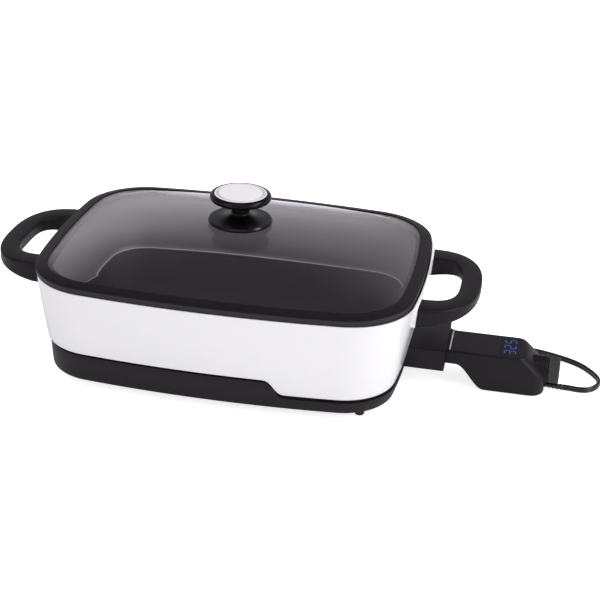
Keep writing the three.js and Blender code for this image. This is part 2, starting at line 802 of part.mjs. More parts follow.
function makeGuard() {
  const innerX = halfLength - shellTaper - 2 * overrun;
  const halfHeight = guardHeight / 2;
  const outer = roundedBar(guardHalfWidth, halfHeight, guardEdge, innerX, mouthX);
  const bore = roundedBar(guardHalfWidth - guardWall, halfHeight - guardWall, guardEdge,
    innerX - overrun, mouthX + overrun);
  const bossEnd = shellEndX(guardScrewPlace, guardAxis) + guardBossLength;
  const places = [-guardScrewPlace, guardScrewPlace];
  const bosses = places.map((y) => rodX(guardBossRadius, innerX, bossEnd, y, 0, boreSides));
  const bores = places.map((y) => rodX(guardScrewRadius + seatGap, innerX - overrun, mouthX, y, 0, boreSides));
  const shroud = cut(join(cut(outer, bore), ...bosses), ...bores).translate(0, 0, guardAxis);
  return cut(shroud, bodyEnvelope(seatGap));
}

// A bar along X with a rounded rectangular section
function roundedBar(halfWide, halfHigh, round, x0, x1) {
  const shape = new THREE.Shape();
  const [w, h] = [halfWide - round, halfHigh - round];
  shape.absarc(h, w, round, 0, Math.PI / 2, false);
  shape.absarc(-h, w, round, Math.PI / 2, Math.PI, false);
  shape.absarc(-h, -w, round, Math.PI, 3 * Math.PI / 2, false);
  shape.absarc(h, -w, round, 3 * Math.PI / 2, 2 * Math.PI, false);
  const bar = new THREE.ExtrudeGeometry(shape, { depth: x1 - x0, bevelEnabled: false, curveSegments: 2 });
  return bar.rotateY(Math.PI / 2).translate(x0, 0, 0);
}

// Heat control, in its own frame: X from the guard's mouth, Z from the pins' axis
function caseShape() {
  const deckZ = controlRise - shoulderDrop;
  const reach = throatCurveShare * (throatEnd - throatStart);
  const shape = new THREE.Shape();
  shape.moveTo(-noseReach, -noseDrop);
  shape.lineTo(throatStart, -noseDrop);
  shape.bezierCurveTo(throatStart + reach, -noseDrop, throatEnd - reach, -controlDrop, throatEnd, -controlDrop);
  shape.lineTo(controlLength, -controlDrop);
  shape.lineTo(controlLength, deckZ);
  shape.lineTo(shoulderEnd, deckZ);
  shape.lineTo(shoulderStart, controlRise);
  shape.lineTo(-noseReach, controlRise);
  return shape;
}

function casePlan() {
  const shape = new THREE.Shape();
  const far = controlHalfWidth - rearRadius;
  shape.moveTo(-noseReach - overrun, -controlHalfWidth);
  shape.lineTo(controlLength - rearRadius, -controlHalfWidth);
  shape.absarc(controlLength - rearRadius, -far, rearRadius, -Math.PI / 2, 0, false);
  shape.absarc(controlLength - rearRadius, far, rearRadius, 0, Math.PI / 2, false);
  shape.lineTo(-noseReach - overrun, controlHalfWidth);
  const depth = controlRise + controlDrop + 2 * overrun;
  const slab = new THREE.ExtrudeGeometry(shape, { depth, bevelEnabled: false, curveSegments: 6 });
  return slab.translate(0, 0, -controlDrop - overrun);
}

function cavityEnd() {
  return controlLength - cavityRear;
}

function pegPlaces() {
  const inset = boardMargin + 2 * boardPegRadius;
  const y = controlHalfWidth - cavityWall - inset;
  return [[throatEnd + inset, -y], [cavityEnd() - inset, y]];
}

function makeCase() {
  const side = new THREE.ExtrudeGeometry(caseShape(), {
    depth: 2 * (controlHalfWidth - controlEdge), bevelEnabled: true, bevelThickness: controlEdge,
    bevelSize: controlEdge, bevelOffset: -controlEdge, bevelSegments: 1, curveSegments: throatSegments,
  });
  side.rotateX(Math.PI / 2).translate(0, controlHalfWidth - controlEdge, 0);
  const body = common(side, casePlan());
  const collar = rodX(collarRadius, collarStart, controlLength + collarProud, 0, -axisDrop, 28);
  const wallY = controlHalfWidth - cavityWall;
  const upper = block([cavityStart, -wallY, cavityWall - noseDrop], [cavityEnd(), wallY, controlRise]);
  const lower = block([throatEnd, -wallY, cavityWall - controlDrop], [cavityEnd(), wallY, controlRise]);
  const ledgeY = controlHalfWidth - coverInset;
  const ledge = block([coverStart, -ledgeY, controlRise - coverThickness - seatGap],
    [displayEnd, ledgeY, controlRise + overrun]);
  const boardZ = controlRise - boardDrop - boardThickness - seatGap;
  const pegs = pegPlaces().map(([x, y]) => (
    rod(boardPegRadius, cavityWall / 2 - controlDrop, boardZ, boreSides).translate(x, y, 0)));
  const pegBores = pegPlaces().map(([x, y]) => (
    rod(boardScrewRadius + seatGap, boardZ - boardScrewLength, boardZ + overrun, boreSides).translate(x, y, 0)));
  const noseX = -noseReach - overrun;
  const shaftBore = rodX(shaftRadius + seatGap, cavityEnd() - overrun, controlLength + collarProud + overrun,
    0, -axisDrop, smallSides);
  const probeBore = rodX(probeRadius + seatGap, noseX, probeSeat - noseReach + seatGap, 0, 0, boreSides);
  const contactBores = pinPlaces().map((y) => (
    rodX(contactRadius + seatGap, noseX, contactLength - noseReach + seatGap, y, 0, boreSides)));
  const trimSeat = block([trimPlace - seatGap, -trimHalfWidth - seatGap, controlRise - trimHeight],
    [trimPlace + trimWidth + seatGap, trimHalfWidth + seatGap, controlRise + overrun]);
  const hollow = cut(join(body, collar), upper, lower, ledge);
  return cut(join(hollow, ...pegs), ...pegBores, shaftBore, probeBore, ...contactBores, trimSeat,
    reliefSolid(seatGap));
}

// The strain relief: oval, tapering along the cord, with its root seated in the case
function reliefSolid(grow) {
  const rings = [];
  const startX = controlLength - reliefSeat - grow;
  const exitZ = reliefHeight - guardAxis;
  const endZ = cordDiameter / 2 + seatGap - guardAxis;
  for (let i = -1; i <= reliefRings; i += 1) {
    const share = Math.max(0, i / reliefRings);
    rings.push({
      centre: new THREE.Vector3(i < 0 ? startX : controlLength + share * reliefLength, 0,
        exitZ + (endZ - exitZ) * smooth(share)),
      direction: new THREE.Vector3(1, 0, 0),
      halfWide: reliefRoot[0] + (reliefTip[0] - reliefRoot[0]) * share + grow,
      halfHigh: reliefRoot[1] + (reliefTip[1] - reliefRoot[1]) * share + grow,
    });
  }
  return ovalTube(rings, reliefSides);
}

function makeCover() {
  const halfY = controlHalfWidth - coverInset - seatGap;
  return block([coverStart + seatGap, -halfY, controlRise - coverThickness],
    [displayStart - seatGap, halfY, controlRise]);
}

// The lit bars of a seven-segment figure, as [centre x, centre y, long in y]; its top faces the pan
function litBars(letters) {
  const [halfTall, halfWide] = [digitHeight / 2, digitWidth / 2];
  const bars = {
    a: [-halfTall, 0, true], g: [0, 0, true], d: [halfTall, 0, true],
    f: [-halfTall / 2, -halfWide, false], b: [-halfTall / 2, halfWide, false],
    e: [halfTall / 2, -halfWide, false], c: [halfTall / 2, halfWide, false],
  };
  return [...letters].map((letter) => bars[letter]);
}

function digitSolids(grow, above) {
  const solids = [];
  const depth = coverThickness + seatGap + digitPlate[2] / 2 + above;
  digitSegments.forEach((letters, index) => {
    const y = (index - 1) * digitPitch;
    for (const [dx, dy, longInY] of litBars(letters)) {
      const length = (longInY ? digitWidth : digitHeight / 2) - 2 * digitGap;
      const half = digitStroke / 2 + grow;
      const end = length / 2 + grow;
      const tip = end - half;
      const shape = new THREE.Shape([[-end, 0], [-tip, -half], [tip, -half], [end, 0], [tip, half], [-tip, half]]
        .map(([u, v]) => new THREE.Vector2(u, v)));
      const bar = new THREE.ExtrudeGeometry(shape, { depth, bevelEnabled: false });
      if (longInY) bar.rotateZ(Math.PI / 2);
      solids.push(bar.translate(digitPlace + dx, y + dy, controlRise + above - depth));
    }
  });
  return solids;
}

function makeDisplay() {
  const halfY = controlHalfWidth - coverInset - seatGap;
  const window = block([displayStart, -halfY, controlRise - coverThickness],
    [displayEnd - seatGap, halfY, controlRise]);
  return cut(window, ...digitSolids(digitPocket, overrun));
}

// The display module: a plate under the window whose lit bars stand up flush with it
function makeDigits() {
  const top = controlRise - coverThickness - seatGap;
  const plate = block([digitPlace - digitPlate[0] / 2, -digitPlate[1] / 2, top - digitPlate[2]],
    [digitPlace + digitPlate[0] / 2, digitPlate[1] / 2, top]);
  return join(plate, ...digitSolids(0, 0));
}

function makeTrim() {
  return block([trimPlace, -trimHalfWidth, controlRise - trimHeight + seatGap],
    [trimPlace + trimWidth, trimHalfWidth, controlRise + trimProud]);
}

function makeBoard() {
  const halfY = controlHalfWidth - cavityWall - boardMargin;
  const top = controlRise - boardDrop;
  const board = block([throatEnd + boardMargin, -halfY, top - boardThickness], [cavityEnd() - boardMargin, halfY, top]);
  const holes = pegPlaces().map(([x, y]) => (
    rod(boardScrewRadius + seatGap, top - overrun, top + overrun, boreSides).translate(x, y, 0)));
  return cut(board, ...holes);
}

function makeBoardScrew([x, y]) {
  return screw(boardScrewRadius, boardScrewLength - seatGap, boardScrewHead, boardScrewHeadHeight)
    .rotateX(Math.PI).translate(x, y, controlRise - boardDrop + seatGap + boardScrewHeadHeight);
}

function makeRelay() {
  const length = relayShare * (cavityEnd() - throatEnd - 2 * boardMargin);
  const floor = controlRise - boardDrop + seatGap;
  const x = (throatEnd + cavityEnd()) / 2;
  return block([x - length / 2, -relayWidth / 2, floor], [x + length / 2, relayWidth / 2, floor + relayHeight]);
}

function makeEncoder() {
  const [length, width, height] = encoderSize;
  const end = cavityEnd() - seatGap;
  const can = block([end - length, -width / 2, -axisDrop - height / 2], [end, width / 2, -axisDrop + height / 2]);
  return cut(can, rodX(shaftRadius + seatGap, end - length - overrun, end + overrun, 0, -axisDrop, smallSides));
}

function makeContact(y) {
  const sleeve = turned([[contactBore, 0], [contactRadius, 0], [contactRadius, contactLength],
    [contactBore, contactLength], [contactBore, 0]], smallSides);
  return sleeve.rotateY(Math.PI / 2).translate(-noseReach, y, 0);
}

function makeProbe() {
  const length = probeReach + probeSeat;
  const tip = probeRadius / 2;
  const probe = turned([[0, 0], [probeRadius - tip, 0], [probeRadius, tip], [probeRadius, length], [0, length]], smallSides);
  return probe.rotateY(Math.PI / 2).translate(-noseReach - probeReach, 0, 0);
}

// The dial: ribs all round, a rounded outer edge and a shallow dish, bored for its shaft
function makeDial() {
  const sections = [
    [0, dialRadius - dialRibDepth], [0, dialRadius], [dialLength - dialRound, dialRadius],
    [dialLength - dialRound / 3, dialRadius - dialRound / 3], [dialLength, dialRadius - dialRound],
    [dialLength - dialDish, dialRadius - 2 * dialRound],
  ];
  const count = 2 * dialRibs;
  const points = [];
  const faces = [];
  for (const [x, radius] of sections.slice(1)) {
    for (let i = 0; i < count; i += 1) {
      const angle = 2 * Math.PI * i / count;
      const r = i % 2 ? radius : radius - dialRibDepth;
      points.push([x, r * Math.cos(angle), r * Math.sin(angle)]);
    }
  }
  const rings = sections.length - 1;
  for (let ring = 0; ring < rings - 1; ring += 1) faces.push(...band(ring * count, (ring + 1) * count, count));
  const last = (rings - 1) * count;
  points.push([0, 0, 0], [dialLength - dialDish, 0, 0]);
  for (let i = 0; i < count; i += 1) {
    const next = (i + 1) % count;
    faces.push([points.length - 2, next, i], [points.length - 1, last + i, last + next]);
  }
  const bore = rodX(shaftRadius + seatGap, -overrun, shaftSeat + seatGap, 0, 0, smallSides);
  return cut(meshOf(points, faces), bore);
}

// Where the dial's inner face stands, from the guard's mouth
function dialPlace() {
  return controlLength + collarProud + dialGap;
}

function makeShaft() {
  const start = cavityEnd() - encoderSize[0] - dialPlace();
  return rodX(shaftRadius, start, shaftSeat, 0, 0, smallSides);
}

// Lid, measured from the rim: the ring grips the edge of the glass
function ringTopZ(inset) {
  return lidRim + rimSlope * inset;
}

function makeRing() {
  const slotTop = (inset) => ringTopZ(inset) - rimLip;
  const slotFloor = (inset) => slotTop(inset) - glassThickness - 2 * seatGap;
  const slotEnd = glassEdgeInset - seatGap;
  return hoop([
    [rimDraft, 0], [0, lidRim - rimRound], [rimRound / 3, lidRim - rimRound / 3], [rimRound, ringTopZ(rimRound)],
    [rimWidth, ringTopZ(rimWidth)], [rimWidth + rimRound / 3, slotTop(rimWidth) + rimRound / 3],
    [rimWidth, slotTop(rimWidth)], [slotEnd, slotTop(slotEnd)], [slotEnd, slotFloor(slotEnd)],
    [skirtInner, slotFloor(domeInset)], [skirtInner, -skirtDepth], [skirtOuter, -skirtDepth], [skirtOuter, 0],
  ]);
}

function glassTopZ(inset) {
  return ringTopZ(inset) - rimLip - seatGap;
}

function makeGlass() {
  const edgeTop = glassTopZ(glassEdgeInset);
  const domeTop = glassTopZ(domeInset);
  const dome = domeShares.map((share) => [domeInset, domeTop + domeRise * (1 - share ** domePowerShare), share]);
  const apex = domeTop + domeRise;
  const under = dome.map(([inset, z, share]) => [inset, z - glassThickness, share]).reverse();
  const glassBody = skin([
    [domeInset, apex - glassThickness, domeCentreShare], ...under,
    [glassEdgeInset, edgeTop - glassThickness, 1], [glassEdgeInset, edgeTop, 1], ...dome,
    [domeInset, apex, domeCentreShare],
  ]);
  return cut(glassBody, rod(glassHole, apex - 2 * glassThickness, apex + glassThickness, smallSides));
}

function domeApex() {
  return glassTopZ(domeInset) + domeRise;
}

// The flange and its flared neck; a hollow underside leaves a lip round the edge
function makeKnobBase() {
  const flare = [];
  for (let i = 0; i <= flareSteps; i += 1) {
    const angle = Math.PI / 2 * i / flareSteps;
    const run = knobBaseRadius - knobEdge - knobNeckRadius;
    flare.push([knobNeckRadius + run * (1 - Math.sin(angle)),
      knobBaseHeight + (knobFlareHeight - knobBaseHeight) * (1 - Math.cos(angle))]);
  }
  return turned([
    [knobBore, 0], [knobBaseRadius - 2 * knobEdge, 0], [knobBaseRadius - 2 * knobEdge, -knobLip],
    [knobBaseRadius - knobEdge / 2, -knobLip], [knobBaseRadius, knobEdge], [knobBaseRadius, knobBaseHeight - knobEdge],
    ...flare, [knobBore, knobFlareHeight], [knobBore, 0],
  ], lidSides);
}

function makeKnobGrip() {
  const top = knobHeight;
  const under = top - knobGripThickness;
  const inlaySeat = knobInlayRadius + seatGap / 2;
  const start = knobFlareHeight + seatGap;
  return turned([
    [0, start + knobScrewLength / 2], [knobBore, start + knobScrewLength / 2], [knobBore, start],
    [knobNeckRadius, start], [knobNeckRadius, under - knobEdge], [knobNeckRadius + knobEdge, under],
    [knobGripRadius - 2 * knobEdge, under + knobEdge / 2], [knobGripRadius - knobEdge / 3, under + knobGripThickness / 3],
    [knobGripRadius, under + knobGripThickness / 2], [knobGripRadius - knobEdge / 3, top - knobEdge],
    [knobGripRadius - knobEdge, top], [inlaySeat, top], [inlaySeat, top - knobInlayThickness],
    [0, top - knobInlayThickness],
  ], lidSides);
}

function makeInlay() {
  const base = knobHeight - knobInlayThickness + seatGap;
  return turned([[0, base], [knobInlayRadius, base], [knobInlayRadius, knobHeight - seatGap],
    [knobInlayRadius - seatGap, knobHeight], [0, knobHeight]], lidSides);
}

function makeKnobWasher() {
  const top = -slideGap - glassThickness;
  return turned([[knobBore, top - knobWasherThickness], [knobWasherRadius, top - knobWasherThickness],
    [knobWasherRadius, top], [knobBore, top], [knobBore, top - knobWasherThickness]], lidSides / 2);
}

function makeKnobScrew() {
  const headTop = -slideGap - glassThickness - knobWasherThickness - seatGap;
  return screw(knobScrewRadius, knobScrewLength, knobScrewHead, knobScrewHeadHeight)
    .translate(0, 0, headTop - knobScrewHeadHeight);
}

// Cord: from the strain relief in a loop on the table, then round behind the skillet to the coil.
// The points of the cord's middle, from the pan's centre
const cordRoute = [
  [359.8, 0, 3.4], [366, -0.2, 3.4], [375, -1.3, 3.4], [385, 0.6, 3.4], [393, 8.4, 3.4], [396.6, 19, 3.4],
  [394.8, 30, 3.4], [388, 41.5, 3.4], [378, 53, 3.4], [365, 62, 3.4], [350, 68.6, 3.4], [333, 74.2, 3.4],
  [306, 80, 3.4], [276, 85, 3.4], [253, 89.5, 3.4], [236, 95.5, 3.4], [222, 106.5, 3.4], [209.5, 122, 3.4],
  [196, 141, 3.5], [178, 160, 3.7], [154, 173.2, 4.1], [130, 176.9, 4.2], [112, 176.83, 4.2], [94.5, 176.83, 4.2],
];

function makeCord() {
  const path = new THREE.CatmullRomCurve3(cordRoute.map(vector), false, 'centripetal');
  return pipe(path.getSpacedPoints(cordSteps), cordDiameter / 2, cordSides);
}

// The coil's middle line: clockwise from the side near the skillet, spiralling in, climbing a layer
// in the half turn where it reverses, then out on top and straight off to the plug
function coilPoints() {
  const pitch = cordDiameter + coilGap;
  const [inward, climb, outward] = coilTurns;
  const low = tieThickness + seatGap + cordDiameter / 2;
  const plugZ = plugSize[2] / 2 + seatGap;
  const points = [];
  const total = inward + climb + outward;
  const middle = inward + climb / 2;
  const start = coilRadius + pitch * inward / 2;
  const steps = Math.round(coilSteps * total);
  const [cx, cy] = coilCentre;
  points.push(new THREE.Vector3(cx + cordDiameter, cy - start, low));
  for (let i = 0; i <= steps; i += 1) {
    const turn = total * i / steps;
    const radius = turn < middle ? start - pitch * turn : start - pitch * (2 * middle - turn);
    const rise = Math.min(1, Math.max(0, (turn - inward) / climb));
    const angle = -Math.PI / 2 - 2 * Math.PI * turn;
    points.push(new THREE.Vector3(cx + radius * Math.cos(angle), cy + radius * Math.sin(angle), low + pitch * rise));
  }
  const { y, z } = points[points.length - 1];
  for (let i = 1; i <= coilRunSteps; i += 1) {
    const share = i / coilRunSteps;
    points.push(new THREE.Vector3(cx - coilRun - share * coilDrop, y, z + (plugZ - z) * smooth(share)));
  }
  points.push(new THREE.Vector3(coilEndX(), y, plugZ));
  return points;
}

function coilEndX() {
  return coilCentre[0] - coilRun - coilDrop - cordDiameter;
}

function coilEndY() {
  const pitch = cordDiameter + coilGap;
  const [inward, climb, outward] = coilTurns;
  return coilCentre[1] - coilRadius - pitch * (inward / 2 - 2 * inward - climb + inward + climb + outward);
}

function makeCoil() {
  return pipe(coilPoints(), cordDiameter / 2, coilSides);
}

// The least gap between two turns of the coil
function leastCoilGap() {
  const points = coilPoints();
  let least = Infinity;
  for (let i = 0; i < points.length; i += 1) {
    let run = 0;
    for (let j = i + 1; j < points.length; j += 1) {
      run += points[j].distanceTo(points[j - 1]);
      if (run > 3 * cordDiameter) least = Math.min(least, points[i].distanceTo(points[j]) - cordDiameter);
    }
  }
  return least;
}

function makeTie() {
  const pitch = cordDiameter + coilGap;
  const low = tieThickness + seatGap + cordDiameter / 2;
  const halfWide = (pitch + cordDiameter) / 2 + slideGap;
  const halfHigh = (pitch + cordDiameter) / 2 + seatGap;
  const round = cordDiameter / 2;
  const from = coilCentre[0] - tieWidth / 2;
  const outer = roundedBar(halfWide + tieThickness, halfHigh + tieThickness, round + tieThickness,
    from, from + tieWidth);
  const inner = roundedBar(halfWide, halfHigh, round, from - overrun, from + tieWidth + overrun);
  return cut(outer, inner).translate(0, coilCentre[1] + coilRadius - pitch / 4, low + pitch / 2);
}

// Plug, pointing to -X from the coil's end
function makePlug() {
  const [length, width, height] = plugSize;
  const body = roundedBar(width / 2, height / 2, plugRound, -plugNeck - length, -plugNeck);
  const neck = rodX(plugNeckRadius, -plugNeck - plugRound, 0, 0, 0, smallSides);
  return cut(join(body, neck), ...bladeSolids(seatGap));
}

function bladeSolids(grow) {
  const [length, width, thickness] = bladeSize;
  const end = -plugNeck - plugSize[0];
  return [-bladeSpacing / 2, bladeSpacing / 2].map((y) => (
    block([end - length, y - thickness / 2 - grow, -width / 2 - grow],
      [end + bladeSeat + grow, y + thickness / 2 + grow, width / 2 + grow])));
}

const skillet = new THREE.Group();
const dialEnd = mouthX + dialPlace() + dialLength;
skillet.position.x = (halfLength + handleReach - dialEnd) / 2;

const cornerName = ([x, y]) => `${y < 0 ? 'front' : 'rear'}_${x < 0 ? 'left' : 'right'}`;
const sideName = (y) => (y < 0 ? 'front' : 'rear');

// Body
place(skillet, 'pan', makePan(), nonstick);
place(skillet, 'outer_shell', makeShell(), white);
place(skillet, 'base_tray', makeTray(), blackPlastic);
for (const at of footPlaces()) place(skillet, `foot_${cornerName(at)}`, makeFoot(at), silicone);
for (const [x, y] of postPlaces()) {
  const made = screw(trayScrewRadius, trayScrewLength, trayScrewHead, trayScrewHeadHeight);
  made.translate(x, y, footHeight - seatGap - trayScrewHeadHeight);
  place(skillet, `base_screw_${cornerName([x, y])}`, made, steel);
}
const handle = makeHandle();
place(skillet, 'handle_right', handle, blackPlastic);
place(skillet, 'handle_left', handle.clone(), blackPlastic).rotation.z = Math.PI;
for (const [x, y, z] of handleScrewPlaces()) {
  const made = screw(handleScrewRadius, handleScrewLength, handleScrewHead, handleScrewHeadHeight);
  made.rotateY(Math.sign(x) * Math.PI / 2).translate(x - Math.sign(x) * handleScrewHeadHeight, y, z);
  place(skillet, `handle_screw_${cornerName([x, y])}`, made, steel);
}

// Heating and contacts
place(skillet, 'heating_element', makeElement(), steel);
place(skillet, 'element_clamp_left', makeClamp(-halfLength * clipPlaceShare), steel);
place(skillet, 'element_clamp_right', makeClamp(halfLength * clipPlaceShare), steel);
place(skillet, 'terminal_bracket', makeBracket(), steel);
for (const y of pinPlaces()) {
  place(skillet, `terminal_insulator_${sideName(y)}`, makeInsulator(y), ceramic);
  place(skillet, `terminal_pin_${sideName(y)}`, makePin(y), steel);
}
place(skillet, 'sensor_sleeve', makeSleeve(), steel);
place(skillet, 'probe_guard', makeGuard(), blackPlastic);
for (const y of [-guardScrewPlace, guardScrewPlace]) {
  const made = screw(guardScrewRadius, guardScrewLength, guardScrewHead, guardScrewHeadHeight);
  const x = shellEndX(y, guardAxis) - shellWall - screwStand - guardScrewHeadHeight;
  place(skillet, `guard_screw_${sideName(y)}`, made.rotateY(Math.PI / 2).translate(x, y, guardAxis), steel);
}

// Heat control
const control = new THREE.Group();
control.position.set(mouthX, 0, guardAxis);
skillet.add(control);
place(control, 'control_case', makeCase(), blackPlastic);
place(control, 'control_cover', makeCover(), blackPlastic);
place(control, 'control_trim', makeTrim(), greyTrim);
place(control, 'display_window', makeDisplay(), blackGloss);
place(control, 'display_module', makeDigits(), ledBlue);
place(control, 'circuit_board', makeBoard(), boardGreen);
for (const at of pegPlaces()) place(control, `board_screw_${sideName(at[1])}`, makeBoardScrew(at), steel);
place(control, 'power_relay', makeRelay(), blackPlastic);
place(control, 'dial_encoder', makeEncoder(), steel);
for (const y of pinPlaces()) place(control, `contact_sleeve_${sideName(y)}`, makeContact(y), brass);
place(control, 'sensor_probe', makeProbe(), steel);
place(control, 'strain_relief', reliefSolid(0), blackPlastic);
const dial = new THREE.Group();
dial.position.set(dialPlace(), 0, -axisDrop);
control.add(dial);
place(dial, 'temperature_dial', makeDial(), blackPlastic);
place(dial, 'dial_shaft', makeShaft(), steel);

// Lid
const lid = new THREE.Group();
lid.position.z = lidZ;
skillet.add(lid);
place(lid, 'lid_ring', makeRing(), silicone);
place(lid, 'lid_glass', makeGlass(), glass);
const knob = new THREE.Group();
knob.position.z = domeApex() + seatGap;
lid.add(knob);
place(knob, 'knob_base', makeKnobBase(), blackGloss);
place(knob, 'knob_grip', makeKnobGrip(), blackGloss);
place(knob, 'knob_inlay', makeInlay(), steel);
place(knob, 'knob_washer', makeKnobWasher(), silicone);
place(knob, 'knob_screw', makeKnobScrew(), steel);

// Cord
place(skillet, 'power_cord', makeCord(), blackPlastic);
place(skillet, 'cord_coil', makeCoil(), blackPlastic);
place(skillet, 'cord_tie', makeTie(), blackPlastic);
const plug = new THREE.Group();
plug.position.set(coilEndX() - seatGap, coilEndY(), plugSize[2] / 2 + seatGap);
skillet.add(plug);
place(plug, 'plug_body', makePlug(), blackPlastic);
bladeSolids(0).forEach((blade, i) => place(plug, `plug_blade_${i ? 'rear' : 'front'}`, blade, brass));
console.log(`least gap between the coil's turns: ${leastCoilGap().toFixed(2)} mm`);

export default skillet;
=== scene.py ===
import math

import bmesh
import bpy
from mathutils import Matrix, Vector


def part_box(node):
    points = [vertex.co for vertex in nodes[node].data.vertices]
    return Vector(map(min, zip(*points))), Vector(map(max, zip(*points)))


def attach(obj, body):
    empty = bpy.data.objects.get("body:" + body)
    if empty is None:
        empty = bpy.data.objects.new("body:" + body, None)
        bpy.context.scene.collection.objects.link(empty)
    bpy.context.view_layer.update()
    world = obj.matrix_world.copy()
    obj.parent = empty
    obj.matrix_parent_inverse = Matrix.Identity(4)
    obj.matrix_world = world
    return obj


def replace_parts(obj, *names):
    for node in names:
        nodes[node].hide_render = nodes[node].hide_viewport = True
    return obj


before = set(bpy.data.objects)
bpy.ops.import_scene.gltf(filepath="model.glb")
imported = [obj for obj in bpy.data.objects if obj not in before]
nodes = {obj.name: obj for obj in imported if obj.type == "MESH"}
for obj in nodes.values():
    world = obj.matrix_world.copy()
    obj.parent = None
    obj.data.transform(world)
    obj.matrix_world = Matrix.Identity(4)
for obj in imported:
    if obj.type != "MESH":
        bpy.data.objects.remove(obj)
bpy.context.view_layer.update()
mm = 0.001

# Heights and the pan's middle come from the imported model
panLow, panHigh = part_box("pan")
midX = (panLow.x + panHigh.x) / 2
rimTop = panHigh.z / mm
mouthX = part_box("probe_guard")[1].x
panFloor = 56   # cooking surface over the table, in mm


def hexColour(text):
    channels = [int(text[i:i + 2], 16) / 255 for i in (1, 3, 5)]
    return [c / 12.92 if c <= 0.04045 else ((c + 0.055) / 1.055) ** 2.4 for c in channels] + [1.0]


def addObject(name, data):
    made = bpy.data.objects.new(name, data)
    bpy.context.scene.collection.objects.link(made)
    return made


def meshFrom(name, bm):
    mesh = bpy.data.meshes.new(name)
    bm.to_mesh(mesh)
    bm.free()
    return mesh


# Camera, solved from the photograph's outlines; place in mm, roll in degrees
camera = {"place": (268.44, -1356.14, 742.33), "looks": (-0.16007533, 0.88434669, -0.43852801), "roll": 2.26,
          "lens": 84.64, "sensor": 36, "near": 0.05}


def makeCamera():
    data = bpy.data.cameras.new("photoCamera")
    data.lens = camera["lens"]
    data.sensor_width = camera["sensor"]
    data.sensor_fit = "HORIZONTAL"
    data.clip_start = camera["near"]
    view = addObject("photoCamera", data)
    ahead = Vector(camera["looks"]).normalized()
    right = ahead.cross(Vector((0, 0, 1))).normalized()
    up = right.cross(ahead)
    turn = math.radians(camera["roll"])
    across = right * math.cos(turn) + up * math.sin(turn)
    rise = up * math.cos(turn) - right * math.sin(turn)
    pose = Matrix((across, rise, -ahead)).transposed().to_4x4()
    pose.translation = Vector(camera["place"]) * mm
    view.matrix_world = pose
    bpy.context.scene.camera = view


lamps = [   # name, place, aim, size in metres, power in watts
    ("overheadBox", (0.0, 0.25, 1.9), (0.0, 0.0, 0.0), (1.8, 1.2), 11),
    ("keyBox", (-1.3, -1.5, 1.3), (0.0, 0.0, 0.05), (1.1, 1.1), 7.5),
    ("rightBox", (1.7, -0.8, 0.9), (0.0, 0.0, 0.05), (0.9, 0.9), 11.5),
    ("edgeBox", (-0.1, -0.8, 1.7), (0.0, 0.0, 0.05), (1.4, 0.5), 4),
    ("shoulderBox", (1.5, 0.1, 1.6), (0.3, 0.0, 0.05), (0.5, 0.5), 13),
]


def makeLamps():
    for name, place, aim, size, power in lamps:
        data = bpy.data.lights.new(name, "AREA")
        data.shape = "RECTANGLE"
        data.size, data.size_y = size
        data.energy = power
        lamp = addObject(name, data)
        lamp.location = place
        lamp.rotation_euler = (Vector(aim) - Vector(place)).to_track_quat("-Z", "Y").to_euler()
        lamp.visible_glossy = lamp.visible_transmission = name != "overheadBox"


def startTree(owner):
    owner.use_nodes = True
    owner.node_tree.nodes.clear()
    return owner.node_tree


def addNode(tree, kind, inputs=None, **settings):
    # An input takes a value, a socket, or a node for its first output
    node = tree.nodes.new("ShaderNode" + kind)
    for key, value in settings.items():
        setattr(node, key, value)
    for key, value in (inputs or {}).items():
        if isinstance(value, bpy.types.Node):
            value = value.outputs[0]
        if isinstance(value, bpy.types.NodeSocket):
            tree.links.new(value, node.inputs[key])
        else:
            node.inputs[key].default_value = value
    return node


def setRamp(node, first, *between, last):
    # Each stop is a place and a colour
    elements = node.color_ramp.elements
    for stop, (at, tint) in zip(elements, (first, last)):
        stop.position = at
        stop.color = hexColour(tint)
    for at, tint in between:
        elements.new(at).color = hexColour(tint)
    return node


